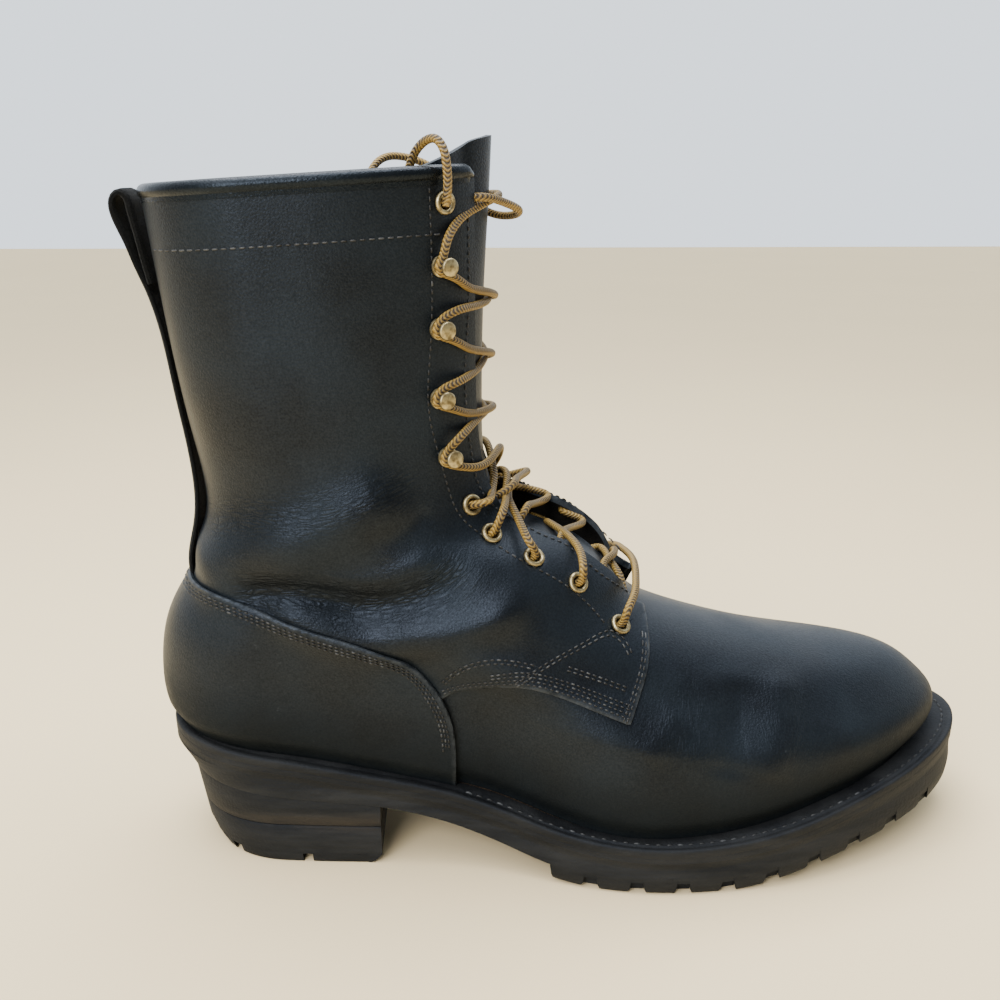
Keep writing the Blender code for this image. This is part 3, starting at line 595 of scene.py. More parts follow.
def sweep(sections: Array, closed: bool = False) -> Shape:
    """Closed mesh through a row of sections with the same number of points.

    Args:
        sections: Points, as section, point in it and x, y, z.
        closed: Whether the last section joins the first.

    Returns:
        The shape.
    """
    rows, columns = sections.shape[:2]
    faces = grid_faces(rows, columns, closed, True)
    if not closed:
        faces.append(tuple(range(columns))[::-1])
        faces.append(tuple(range((rows - 1) * columns, rows * columns)))
    return Shape(sections.reshape(-1, 3), faces)


START_AXIS = (0.3, 0.5, 0.8)
OUTSIDE_LEAN = 0.35
OUTSIDE_WIDTH = 8
OUTSIDE_PULL = 0.3


def tube(path: Array, radius: Union[float, Array], sides: int, lines: int = 2) -> Shape:
    """Round cord along a path, with values for a pattern of lines along it.

    Args:
        path: Points of its middle line.
        radius: Radius, or a radius for each point.
        sides: Number of sides.
        lines: Number of pattern lines.

    Returns:
        The shape, with millimetres along and nearness to a line in around.
    """
    along = unit(np.gradient(path, axis=0))
    normal = unit(np.cross(along[0], START_AXIS))
    radius = np.broadcast_to(radius, (len(path),))
    angles = full_turn(sides)
    # The first pattern line is drawn towards the outside of the boot
    lean = np.full(len(path), OUTSIDE_LEAN)
    outside = np.column_stack([lean, np.tanh(path[:, 1] / OUTSIDE_WIDTH), lean])
    sections = []
    for point, ahead, reach, out in zip(path, along, radius, outside):
        normal = normal + OUTSIDE_PULL * out
        normal = unit(normal - ahead * np.dot(normal, ahead))
        spokes = np.cos(angles)[:, None] * normal + np.sin(angles)[:, None] * np.cross(ahead, normal)
        sections.append(point + reach * spokes)
    shape = sweep(np.array(sections))
    length = np.repeat(run_along(path), sides)
    near = np.tile(0.5 + 0.5 * np.cos(lines * angles), len(path))
    shape.around = np.stack([length, near], axis=-1)
    return shape


def turned(profile: Points, seat: Array, outward: Array, ahead: Array, segments: int) -> Shape:
    """Closed ring turned about its seat's outward axis.

    Args:
        profile: Closed section as (radius, height above the seat).
        seat: Point on the leather.
        outward: Axis.
        ahead: Direction across the axis.
        segments: Number of segments.

    Returns:
        The shape.
    """
    across = np.cross(outward, ahead)
    angles = full_turn(segments)
    spokes = np.cos(angles)[:, None] * ahead + np.sin(angles)[:, None] * across
    profile = np.asarray(profile, float)
    sections = seat + spokes[:, None, :] * profile[None, :, :1] + outward * profile[None, :, 1:]
    return sweep(sections, closed=True)


MITRE_LIMIT = 0.6


def slab(lateral: Array, medial: Array, top: Callable[[Array], Array], under: Callable[[Array], Array],
         profile: Points, shape: Optional[Callable[[Array], Array]] = None) -> Shape:
    """Closed slab between two outlines that run from back to front.

    Args:
        lateral: Plan points of one side.
        medial: Plan points of the other side, as many; shared ends close to a point.
        top: Height of the top at x.
        under: Height of the underside at x.
        profile: Rows down the side as (inset, share of the depth).
        shape: Moves the finished points.

    Returns:
        The shape.
    """
    first_tip = np.allclose(lateral[0], medial[0])
    last_tip = np.allclose(lateral[-1], medial[-1])
    count = len(lateral)
    back = medial[(1 if first_tip else 0):(count - 1 if last_tip else count)][::-1]
    loop = np.vstack([lateral, back])
    ahead = unit(np.roll(loop, -1, axis=0) - loop)
    along = unit(ahead + np.roll(ahead, 1, axis=0))
    inward = np.stack([-along[:, 1], along[:, 0]], axis=-1)
    inward /= np.clip((along * ahead).sum(axis=1), MITRE_LIMIT, 1)[:, None]
    middle = loop.mean(axis=0)
    if np.sum((loop - middle) * inward) > 0:
        inward = -inward
    rows = []
    for inset, share in profile:
        plan = loop + inset * inward
        x = plan[:, 0]
        rows.append(np.column_stack([plan, top(x) + share * (under(x) - top(x))]))
    points = np.vstack(rows)
    if shape:
        points = shape(points)
    size = len(loop)
    faces = grid_faces(len(profile), size, False, True)

    def partner(i: int) -> int:
        """Point of the medial side across from a lateral point."""
        if (first_tip and i == 0) or (last_tip and i == count - 1):
            return i
        return size - i if first_tip else size - 1 - i

    for start, flip in ((0, False), ((len(profile) - 1) * size, True)):
        for i in range(count - 1):
            corners = (i, i + 1, partner(i + 1), partner(i))
            ring = tuple(start + c for c in dict.fromkeys(corners))
            faces.append(ring if flip else ring[::-1])
    return Shape(points, faces)


@dataclass
class Panel:
    """Sheet of leather on the last, cut to its outline and given a thickness."""

    SAMPLES: ClassVar[int] = 181
    WEAR_WIDTH: ClassVar[float] = 2.2
    # Height over which the leather goes darker and duller towards the welt, for dust and painted shade
    DUST_AND_SHADE_HEIGHT: ClassVar[float] = 46

    wrap: Wrap
    side: Side
    heights: Array
    reaches: Array
    faces: Faces
    closed: bool = False
    edge: Optional[Array] = None

    @classmethod
    def over(cls, wrap: Wrap, side: Side, heights: Array, ends: tuple[Array, Array], columns: int,
             closed: bool = False) -> "Panel":
        """Even grid over a part of the last.

        Args:
            wrap: How its columns run.
            side: Its side, where it lies on one side.
            heights: Heights of its rows.
            ends: First and last run of each row, on one side.
            columns: Number of columns on one side.
            closed: Whether the throat is closed.

        Returns:
            The panel.
        """
        samples = end_dense(cls.SAMPLES)
        first, last = (np.broadcast_to(end, heights.shape) for end in ends)
        runs = first[:, None] + (last - first)[:, None] * samples
        points = LAST.point(np.repeat(heights[:, None], runs.shape[1], axis=1), runs, side.value, closed)
        rows = []
        for line, run in zip(points, runs):
            length = run_along(line)
            rows.append(np.interp(np.linspace(0, length[-1], columns), length, run))
        reaches = np.array(rows)
        if wrap is Wrap.ROUND_BACK:
            reaches = np.hstack([-reaches[:, :0:-1], reaches])
        elif wrap is Wrap.ROUND_FRONT:
            reaches = np.hstack([reaches - 1, 1 - reaches[:, -2::-1]])
        tall = np.repeat(heights[:, None], reaches.shape[1], axis=1)
        faces = grid_faces(*reaches.shape)
        return cls(wrap, side, tall.ravel(), reaches.ravel(), faces, closed)

    def place(self) -> tuple[Array, Array]:
        """Where each point lies around the last.

        Returns:
            Its run and its side.
        """
        if self.wrap is Wrap.ONE_SIDE:
            return self.reaches, np.full(self.reaches.shape, float(self.side.value))
        side = np.where(self.reaches < 0, -1, 1)
        far = np.abs(self.reaches)
        return (far if self.wrap is Wrap.ROUND_BACK else 1 - far), side

    def surface(self) -> tuple[Array, Array]:
        """The panel on the middle surface.

        Returns:
            Its points and their normals.
        """
        run, side = self.place()
        points = LAST.point(self.heights, run, side, self.closed)
        normals = LAST.normal(self.heights, run, side, self.closed)
        shared = (self.reaches == 0) & (self.wrap is not Wrap.ONE_SIDE)
        if shared.any():
            other = LAST.normal(self.heights, run, -side, self.closed)
            normals = np.where(shared[:, None], unit(normals + other), normals)
        return points, normals

    def cut(self, distance: Callable[[Array], Array]) -> "Panel":
        """Keep the part of the panel where a distance is positive.

        Args:
            distance: Signed distance to the cut at points of the middle surface.

        Returns:
            The panel, changed.
        """
        far = distance(self.surface()[0])
        inside = far > 0
        heights, reaches = list(self.heights), list(self.reaches)
        crossings: dict[tuple[int, int], int] = {}

        def crossing(a: int, b: int) -> int:
            """Point where an edge meets the cut.

            Args:
                a: Number of one end.
                b: Number of the other.

            Returns:
                Its number.
            """
            key = (min(a, b), max(a, b))
            if key not in crossings:
                t = far[key[0]] / (far[key[0]] - far[key[1]])
                crossings[key] = len(heights)
                heights.append(heights[key[0]] + t * (heights[key[1]] - heights[key[0]]))
                reaches.append(reaches[key[0]] + t * (reaches[key[1]] - reaches[key[0]]))
            return crossings[key]

        faces = []
        for face in self.faces:
            marks = [inside[i] for i in face]
            if all(marks):
                faces.append(face)
            elif any(marks):
                ring = []
                for a, b in zip(face, face[1:] + face[:1]):
                    if inside[a]:
                        ring.append(a)
                    if inside[a] != inside[b]:
                        ring.append(crossing(a, b))
                faces.append(tuple(ring))
        edge = np.concatenate([far if self.edge is None else np.minimum(far, self.edge),
                               np.zeros(len(heights) - len(far))])
        used = sorted({i for face in faces for i in face})
        number = {old: new for new, old in enumerate(used)}
        self.heights, self.reaches, self.edge = (np.array(a)[used] for a in (heights, reaches, edge))
        self.faces = [tuple(number[i] for i in face) for face in faces]
        return self

    def solid(self, outer: Array, inner: Array) -> Shape:
        """Closed sheet between two lifts.

        Args:
            outer: Lift of the outer face at each point.
            inner: Lift of the inner face at each point.

        Returns:
            The shape, with the inner face as lining and its worn edges and low places as values; the low
            places get dust and painted shade.
        """
        points, normals = self.surface()
        count = len(points)
        layers = []
        for lift in (outer, inner):
            layer = points + np.broadcast_to(lift, count)[:, None] * normals
            floor = LAST.sole("top_z", layer[:, 0]) + GAP
            layer[:, 2] = np.maximum(layer[:, 2], floor)
            layers.append(layer)
        faces, lining_from = sheet_faces(self.faces, count)
        wear = np.zeros(count) if self.edge is None else 1 - ease(self.edge / self.WEAR_WIDTH)
        points = np.vstack(layers)
        above = points[:, 2] - LAST.sole("top_z", points[:, 0])
        # Low places near the welt carry dust and painted shade
        values = {"wear": np.concatenate([wear, wear]), "dust_and_shade": 1 - ease(above / self.DUST_AND_SHADE_HEIGHT)}
        return Shape(points, faces, values, lining_from=lining_from)


def row_heights(low: float, high: float, grid: "Grid") -> Array:
    """Heights of a panel's rows, evenly apart where the panel is tallest.

    Args:
        low: First height.
        high: Last height.
        grid: Largest distance between rows, and where it is measured.

    Returns:
        The heights.
    """
    fine = np.linspace(low, high, 400)
    steps = np.zeros(len(fine) - 1)
    for x in grid.measured_at:
        line = LAST.point(fine, LAST.run_at(fine, x), 1, True)
        steps = np.maximum(steps, np.linalg.norm(np.diff(line, axis=0), axis=1))
    length = np.concatenate(([0], np.cumsum(steps)))
    count = int(round(length[-1] / grid.spacing)) + 1
    return np.interp(np.linspace(0, length[-1], count), length, fine)


# Finishes


def linear(colour: str) -> tuple[float, float, float, float]:
    """Linear colour of an sRGB hex value."""
    parts = [int(colour[i:i + 2], 16) / 255 for i in (1, 3, 5)]
    shown = [p / 12.92 if p <= 0.04045 else ((p + 0.055) / 1.055) ** 2.4 for p in parts]
    return (*shown, 1)


def per_metre(size: float) -> float:
    """Scale of a pattern that repeats at a size in millimetres."""
    return 1 / (size * MM)


Tree = bpy.types.NodeTree
Socket = bpy.types.NodeSocket
Sockets = dict[str, Socket]
Link = Union[Socket, float, tuple]


def add(tree: Tree, kind: str, inputs: Union[dict[Union[str, int], Link], tuple[Link, ...]] = (),
        output: Union[str, int] = 0, **settings: object) -> Socket:
    """Add a node with its settings and links.

    Args:
        tree: The material's nodes.
        kind: Type of the node without its prefix.
        inputs: Value or linked socket of each input, by name or number, or in order.
        output: The output to hand on.
        settings: Properties of the node.

    Returns:
        The output socket.
    """
    node = tree.nodes.new("ShaderNode" + kind)
    for key, value in settings.items():
        setattr(node, key, value)
    for key, value in inputs.items() if isinstance(inputs, dict) else enumerate(inputs):
        if isinstance(value, Socket):
            tree.links.new(value, node.inputs[key])
        else:
            node.inputs[key].default_value = value
    return node.outputs[output]


# Values between which most of a noise pattern lies
NOISE_RANGE: Pair = (0.3, 0.7)


@dataclass(frozen=True)
class Finish:
    """A surface finish: its slot, its shader's constant values and a node tree of its own."""

    name: str
    slot: Optional[Slot] = None
    roughness: float = 0.5
    metallic: float = 0
    sheen: float = 0
    specular: float = 0.5
    specular_tint: str = "#ffffff"

    def material(self) -> bpy.types.Material:
        """Make the material once.

        Returns:
            The material.
        """
        made = bpy.data.materials.get(self.name)
        if made:
            return made
        made = bpy.data.materials.new(self.name)
        made.use_nodes = True
        tree = made.node_tree
        shader = tree.nodes["Principled BSDF"]
        constants = {"Roughness": self.roughness, "Metallic": self.metallic, "Sheen Weight": self.sheen,
                     "Specular IOR Level": self.specular, "Specular Tint": linear(self.specular_tint)}
        for key, value in constants.items():
            shader.inputs[key].default_value = value
        for key, socket in self.dress(tree).items():
            tree.links.new(socket, shader.inputs[key])
        return made

    def dress(self, tree: Tree) -> Sockets:
        """Sockets that vary over the surface, by the shader input they drive."""
        return {}

    def rougher(self, change: Pair) -> Pair:
        """Roughness at the two ends of a pattern, by a change from the finish's own."""
        return (self.roughness + change[0], self.roughness + change[1])


@dataclass(frozen=True)
class OiledLeather(Finish):
    """Drum-dyed cowhide, oiled and worn: a fine pebble grain with a broad blue-grey sheen."""

    deep: str = "#0a0c0e"
    faded: str = "#11161a"
    # Dust by the welt, darkened to paint the shade of the low parts
    dust_and_shade: str = "#171a1b"
    rubbed: str = "#3a3e42"
    mottle: float = 34
    clouds: Pair = (0.35, 0.68)
    scuff: float = 5
    dust_and_shade_specks: Pair = (0.3, 0.62)
    dust_and_shade_share: Pair = (0.2, 0.7)
    dust_dulls: float = 0.3
    dust_and_shade_hides: float = 0.75
    edge_specks: Pair = (0.36, 0.62)
    edge_share: float = 0.7
    scuff_specks: Pair = (0.66, 0.74)
    scuff_share: float = 0.5
    gloss_change: Pair = (-0.06, 0.08)
    facet_range: Pair = (0.32, 0.68)
    glint: Pair = (0.7, 1.3)
    grain: float = 0.75
    grain_depth: float = 0.12
    pore_depth: float = 0.07
    wrinkle: float = 1.4
    wrinkle_stretch: float = 0.25
    wrinkle_sway: float = 2.2
    wrinkle_width: float = 0.32
    wrinkle_depth: float = 0.22
    # Share of the shine taken out of the fine wrinkles, as painted shade
    wrinkle_shade_share: float = 0.5
    relief_strength: float = 0.8

    def dress(self, tree: Tree) -> Sockets:
        """Mottled black with dust and painted shade by the welt, rubbed edges, pebble grain and fine
        wrinkles with painted shade in them.

        Args:
            tree: The material's nodes.

        Returns:
            Sockets for colour, roughness, gloss and normal.
        """
        where = add(tree, "TexCoord", output="Object")
        mottle = add(tree, "TexNoise", {"Vector": where, "Scale": per_metre(self.mottle), "Detail": 5})
        clouds = add(tree, "MapRange", (mottle, *self.clouds))
        base = add(tree, "Mix", {0: clouds, 6: linear(self.deep), 7: linear(self.faded)}, 2,
                   data_type="RGBA")
        specks = add(tree, "TexNoise", {"Vector": where, "Scale": per_metre(self.scuff), "Detail": 8,
                                        "Roughness": 0.7})
        # Dust by the welt with painted shade: darker and less shiny towards the bottom
        low = add(tree, "Attribute", output="Fac", attribute_name="dust_and_shade")
        dust_and_shade_patches = add(tree, "MapRange", (specks, *self.dust_and_shade_specks, *self.dust_and_shade_share))
        dust_and_shade_haze = add(tree, "Math", (low, dust_and_shade_patches), operation="MULTIPLY")
        dusty_and_shaded = add(tree, "Mix", {0: dust_and_shade_haze, 6: base, 7: linear(self.dust_and_shade)}, 2, data_type="RGBA")
        wear = add(tree, "Attribute", output="Fac", attribute_name="wear")
        edges = add(tree, "MapRange", (specks, *self.edge_specks, 0, self.edge_share))
        scuffs = add(tree, "MapRange", (specks, *self.scuff_specks, 0, self.scuff_share))
        worn = add(tree, "Math", (wear, edges, scuffs), operation="MULTIPLY_ADD", use_clamp=True)
        colour = add(tree, "Mix", {0: worn, 6: dusty_and_shaded, 7: linear(self.rubbed)}, 2, data_type="RGBA")
        gloss = add(tree, "MapRange", (mottle, *NOISE_RANGE, *self.rougher(self.gloss_change)))
        flex = add(tree, "Attribute", output="Vector", attribute_name="flex")
        mask = add(tree, "SeparateXYZ", (flex,), "Z")
        cells = self.cells(tree, flex)
        # Grain facets of 0.3 mm that catch the light are drawn at 0.8 mm, about two pixels wide
        facets = add(tree, "TexNoise", {"Vector": where, "Scale": per_metre(0.8), "Detail": 3})
        glint = add(tree, "MapRange", (facets, *self.facet_range,
                                       *(share * self.specular for share in self.glint)))
        # Painted shade: the fine wrinkles lose shine, and so does the leather towards the welt
        between = add(tree, "MapRange", (cells, 0, 1, self.wrinkle_shade_share, 0))
        wrinkle_painted_shade = add(tree, "Math", (mask, between), operation="MULTIPLY")
        shine_lost_to_dust_and_shade = add(tree, "Math", (low, self.dust_and_shade_hides, wrinkle_painted_shade), operation="MULTIPLY_ADD")
        left = add(tree, "Math", (1, shine_lost_to_dust_and_shade), operation="SUBTRACT", use_clamp=True)
        shine = add(tree, "Math", (glint, left), operation="MULTIPLY")
        dull = add(tree, "Math", (dust_and_shade_haze, self.dust_dulls, gloss), operation="MULTIPLY_ADD")
        return {"Base Color": colour, "Roughness": dull, "Specular IOR Level": shine,
                "Normal": self.relief(tree, where, mask, cells)}

    def cells(self, tree: Tree, flex: Socket) -> Socket:
        """Puffed skin between the fine wrinkles, from 0 in a wrinkle to 1.

        Args:
            tree: The material's nodes.
            flex: Flow of the wrinkles, in millimetres.

        Returns:
            The puffed height.
        """
        pulled = add(tree, "VectorMath", (flex, (self.wrinkle_stretch, 1, 0)), operation="MULTIPLY")
        sway = add(tree, "TexNoise", {"Vector": pulled, "Scale": 0.4, "Detail": 2}, "Color")
        bent = add(tree, "VectorMath", (sway, (self.wrinkle_sway, self.wrinkle_sway, 0), pulled),
                   operation="MULTIPLY_ADD")
        gaps = add(tree, "TexVoronoi", {"Vector": bent, "Scale": 1 / self.wrinkle},
                   feature="DISTANCE_TO_EDGE")
        return add(tree, "MapRange", (gaps, 0, self.wrinkle_width), interpolation_type="SMOOTHSTEP")

    def relief(self, tree: Tree, where: Socket, mask: Socket, cells: Socket) -> Socket:
        """Pebble grain, pores and the fine wrinkles of the flexed places.

        Args:
            tree: The material's nodes.
            where: Place on the boot in metres.
            mask: Strength of the wrinkles.
            cells: Puffed skin between them.

        Returns:
            The normal.
        """
        pebbles = add(tree, "TexVoronoi", {"Vector": where, "Scale": per_metre(self.grain)},
                      feature="SMOOTH_F1")
        # Pores of 0.2 mm are drawn at 0.5 mm, the finest that the frame can show
        pores = add(tree, "TexNoise", {"Vector": where, "Scale": per_metre(0.5), "Detail": 2})
        fine = add(tree, "Math", (pores, self.pore_depth), operation="MULTIPLY")
        skin = add(tree, "Math", (pebbles, self.grain_depth, fine), operation="MULTIPLY_ADD")
        puffed = add(tree, "Math", (mask, self.wrinkle_depth), operation="MULTIPLY")
        height = add(tree, "Math", (cells, puffed, skin), operation="MULTIPLY_ADD")
        return add(tree, "Bump", {"Height": height, "Distance": MM, "Strength": self.relief_strength})


@dataclass(frozen=True)
class NappedLeather(Finish):
    """Flesh side of split leather: a short matt nap that goes darker where it lies the other way."""

    deep: str = "#0b0c0c"
    brushed: str = "#101112"
    nap: float = 0.9
    nap_depth: float = 0.7
    patch: float = 9
    lit: Pair = (0.14, 0.38)

    def dress(self, tree: Tree) -> Sockets:
        """Dark nap with brushed patches.

        Args:
            tree: The material's nodes.

        Returns:
            Sockets for colour and normal.
        """
        where = add(tree, "TexCoord", output="Object")
        fibres = add(tree, "TexNoise", {"Vector": where, "Scale": per_metre(self.nap), "Detail": 5})
        patches = add(tree, "TexNoise", {"Vector": where, "Scale": per_metre(self.patch), "Detail": 3})
        mixed = add(tree, "Math", (fibres, patches), operation="MULTIPLY")
        share = add(tree, "MapRange", (mixed, *self.lit))
        colour = add(tree, "Mix", {0: share, 6: linear(self.deep), 7: linear(self.brushed)}, 2,
                     data_type="RGBA")
        height = add(tree, "Math", (fibres, self.nap_depth), operation="MULTIPLY")
        return {"Base Color": colour, "Normal": add(tree, "Bump", {"Height": height, "Distance": MM})}


@dataclass(frozen=True)
class MouldedRubber(Finish):
    """Black sole rubber, moulded and trimmed: matt charcoal with pale scuffs and dry dirt."""

    deep: str = "#131313"
    scuffed: str = "#292928"
    dirt: str = "#362f26"
    smear: float = 14
    smear_stretch: Triple = (0.25, 0.5, 1.6)
    smear_depth: float = 0.3
    scuffs: Pair = (0.4, 0.72)
    grit: float = 1.4
    grit_depth: float = 0.34
    strand: float = 1.5
    strand_stretch: Triple = (0.03, 0.03, 1)
    strand_depth: float = 0.22
    dirt_height: float = 20
    dirt_half: float = 6
    dirt_share: float = 0.6
    dirt_front: float = 95
    dirt_fade: float = 8
    dirt_patches: Pair = (0.4, 0.6)
    rough_change: Pair = (-0.08, 0.12)

    def dress(self, tree: Tree) -> Sockets:
        """Charcoal with scuffs drawn out along the sole, trimming lines and dirt on the heel.

        Args:
            tree: The material's nodes.

        Returns:
            Sockets for colour, roughness and normal.
        """
        where = add(tree, "TexCoord", output="Object")
        drawn = add(tree, "VectorMath", (where, self.smear_stretch), operation="MULTIPLY")
        smears = add(tree, "TexNoise", {"Vector": drawn, "Scale": per_metre(self.smear), "Detail": 8,
                                        "Roughness": 0.65})
        share = add(tree, "MapRange", (smears, *self.scuffs))
        colour = add(tree, "Mix", {0: share, 6: linear(self.deep), 7: linear(self.scuffed)}, 2,
                     data_type="RGBA")
        height = add(tree, "SeparateXYZ", (where,), "Z")
        above = add(tree, "Math", (height, self.dirt_height * MM), operation="SUBTRACT")
        far = add(tree, "Math", (above,), operation="ABSOLUTE")
        band = add(tree, "MapRange", (far, self.dirt_half * MM, 0, 0, self.dirt_share))
        front = self.dirt_front + SHIFT[0]
        heel = add(tree, "MapRange", (add(tree, "SeparateXYZ", (where,), "X"), front * MM,
                                      (front - self.dirt_fade) * MM))
        behind = add(tree, "Math", (band, heel), operation="MULTIPLY")
        patches = add(tree, "MapRange", (smears, *self.dirt_patches))
        caked = add(tree, "Math", (behind, patches), operation="MULTIPLY")
        colour = add(tree, "Mix", {0: caked, 6: colour, 7: linear(self.dirt)}, 2, data_type="RGBA")
        rough = add(tree, "MapRange", (smears, *NOISE_RANGE, *self.rougher(self.rough_change)))
        level = add(tree, "VectorMath", (where, self.strand_stretch), operation="MULTIPLY")
        lines = add(tree, "TexNoise", {"Vector": level, "Scale": per_metre(self.strand), "Detail": 3})
        soft = add(tree, "Math", (smears, self.smear_depth), operation="MULTIPLY")
        lined = add(tree, "Math", (lines, self.strand_depth, soft), operation="MULTIPLY_ADD")
        grit = add(tree, "TexNoise", {"Vector": where, "Scale": per_metre(self.grit), "Detail": 6})
        bump = add(tree, "Math", (grit, self.grit_depth, lined), operation="MULTIPLY_ADD")
        return {"Base Color": colour, "Roughness": rough,
                "Normal": add(tree, "Bump", {"Height": bump, "Distance": MM})}


@dataclass(frozen=True)
class AgedBrass(Finish):
    """Stamped brass with an antique finish: warm metal under a brown patina in its hollows."""

    bright: str = "#b3a680"
    patina: str = "#6b5f45"
    spot: float = 2.4
    spot_depth: float = 0.12
    spotted: Pair = (0.38, 0.66)
    rough_change: Pair = (-0.06, 0.2)

    def dress(self, tree: Tree) -> Sockets:
        """Patchy patina and a finely scratched face.

        Args:
            tree: The material's nodes.

        Returns:
            Sockets for colour, roughness and normal.
        """
        where = add(tree, "TexCoord", output="Object")
        spots = add(tree, "TexNoise", {"Vector": where, "Scale": per_metre(self.spot), "Detail": 6})
        share = add(tree, "MapRange", (spots, *self.spotted))
        colour = add(tree, "Mix", {0: share, 6: linear(self.bright), 7: linear(self.patina)}, 2,
                     data_type="RGBA")
        rough = add(tree, "MapRange", (spots, *NOISE_RANGE, *self.rougher(self.rough_change)))
        height = add(tree, "Math", (spots, self.spot_depth), operation="MULTIPLY")
        return {"Base Color": colour, "Roughness": rough,
                "Normal": add(tree, "Bump", {"Height": height, "Distance": MM})}


@dataclass(frozen=True)
class BraidedCord(Finish):
    """Round braided polyester lace: gold plaits with a painted highlight on their crowns, and lines of
    brown chevrons between them.
    """

    gold: str = "#614a18"
    # Pale crowns of the plaits, a painted highlight
    pale: str = "#967a3a"
    brown: str = "#1f1204"
    plait: float = 1.6
    plait_depth: float = 0.8
    crown_highlight_range: Pair = (0.06, 0.34)
    line_edge: Pair = (0.42, 0.72)
    fleck_edge: Pair = (0.14, 0.36)
    fleck_share: Pair = (1, 0.4)

    def dress(self, tree: Tree) -> Sockets:
        """Chevron plaits from the length along the lace and the nearness to a brown line.

        Args:
            tree: The material's nodes.

        Returns:
            Sockets for colour and normal.
        """
        where = add(tree, "UVMap", uv_map="around")
        along = add(tree, "SeparateXYZ", (where,), "X")
        near = add(tree, "SeparateXYZ", (where,), "Y")
        slope = add(tree, "Math", (along, 1 / self.plait, near), operation="MULTIPLY_ADD")
        phase = add(tree, "Math", (slope,), operation="FRACT")
        hump = add(tree, "Math", (phase, 0.5), operation="PINGPONG")
        # Painted highlight: the crown of each plait is drawn pale
        raised = add(tree, "MapRange", (hump, *self.crown_highlight_range))
        plaits = add(tree, "Mix", {0: raised, 6: linear(self.gold), 7: linear(self.pale)}, 2,
                     data_type="RGBA")
        line = add(tree, "MapRange", (near, *self.line_edge))
        flecks = add(tree, "MapRange", (hump, *self.fleck_edge, *self.fleck_share))
        fleck = add(tree, "Math", (line, flecks), operation="MULTIPLY")
        colour = add(tree, "Mix", {0: fleck, 6: plaits, 7: linear(self.brown)}, 2, data_type="RGBA")
        ridge = add(tree, "Math", (hump, self.plait_depth), operation="MULTIPLY")
        return {"Base Color": colour, "Normal": add(tree, "Bump", {"Height": ridge, "Distance": MM})}


@dataclass(frozen=True)
class WaxedThread(Finish):
    """Waxed polyester thread: dark cord, grey on some of its stitches for rubbed thread and painted
    highlights.
    """

    dark: str = "#0a0b0c"
    # Grey of rubbed stitches, which also stands in as their painted highlight
    light: str = "#414345"

    def dress(self, tree: Tree) -> Sockets:
        """Each stitch as dark or as grey as its own value; the grey is rubbed thread and painted highlight.

        Args:
            tree: The material's nodes.

        Returns:
            Socket for the colour.
        """
        rubbed = add(tree, "Attribute", output="Fac", attribute_name="rubbed")
        colour = add(tree, "Mix", {0: rubbed, 6: linear(self.dark), 7: linear(self.light)}, 2,
                     data_type="RGBA")
        return {"Base Color": colour}


@dataclass(frozen=True)
class PaleFloor(Finish):
    """Plain matt floor in a pale warm tone."""

    tone: str = "#e5d0a6"
    cloud: float = 300
    paler: float = 1.06

    def dress(self, tree: Tree) -> Sockets:
        """Faint cloudy tone of a painted studio floor.

        Args:
            tree: The material's nodes.

        Returns:
            Socket for the colour.
        """
        where = add(tree, "TexCoord", output="Object")
        clouds = add(tree, "TexNoise", {"Vector": where, "Scale": per_metre(self.cloud)})
        paler = tuple(min(1, part * self.paler) for part in linear(self.tone))
        colour = add(tree, "Mix", {0: clouds, 6: linear(self.tone), 7: paler}, 2, data_type="RGBA")
        return {"Base Color": colour}


BLUE_CAST = "#c2d3ee"
LEATHER = OiledLeather("oiled black leather", Slot.LEATHER, roughness=0.42, specular=0.29,
                       specular_tint=BLUE_CAST)
BINDING_LEATHER = OiledLeather("rolled calf binding", Slot.LEATHER, roughness=0.26, specular=0.22,
                               specular_tint="#c4d6ee")
LINING = NappedLeather("brushed leather lining", Slot.LEATHER, roughness=0.85, specular=0.2,
                       deep="#131211", brushed="#23211f")
SUEDE = NappedLeather("napped split leather", Slot.ROUGH, roughness=0.95, sheen=0.04, specular=0.06)
FOOTBED = NappedLeather("vegetable-tanned footbed", Slot.FOOTBED, roughness=0.75, deep="#3a2c20",
                        brushed="#5a4632")
RUBBER = MouldedRubber("moulded black rubber", Slot.RUBBER, roughness=0.68, specular=0.24,
                       specular_tint=BLUE_CAST)
BRASS = AgedBrass("antiqued brass", Slot.BRASS, roughness=0.36, metallic=1)
CORD = BraidedCord("braided gold polyester", Slot.LACE, roughness=0.6)
THREAD = WaxedThread("waxed thread", Slot.LEATHER, roughness=0.5, specular=0.4)
WELT_THREAD = replace(THREAD, slot=Slot.RUBBER)
FLOOR = PaleFloor("matt studio floor", roughness=0.8, specular=0.2)


# Stage and camera


class Light(NamedTuple):
    """A soft light: its size is in metres, or in degrees for a sun."""

    name: str
    kind: LightKind
    power: float
    size: float
    place: Triple


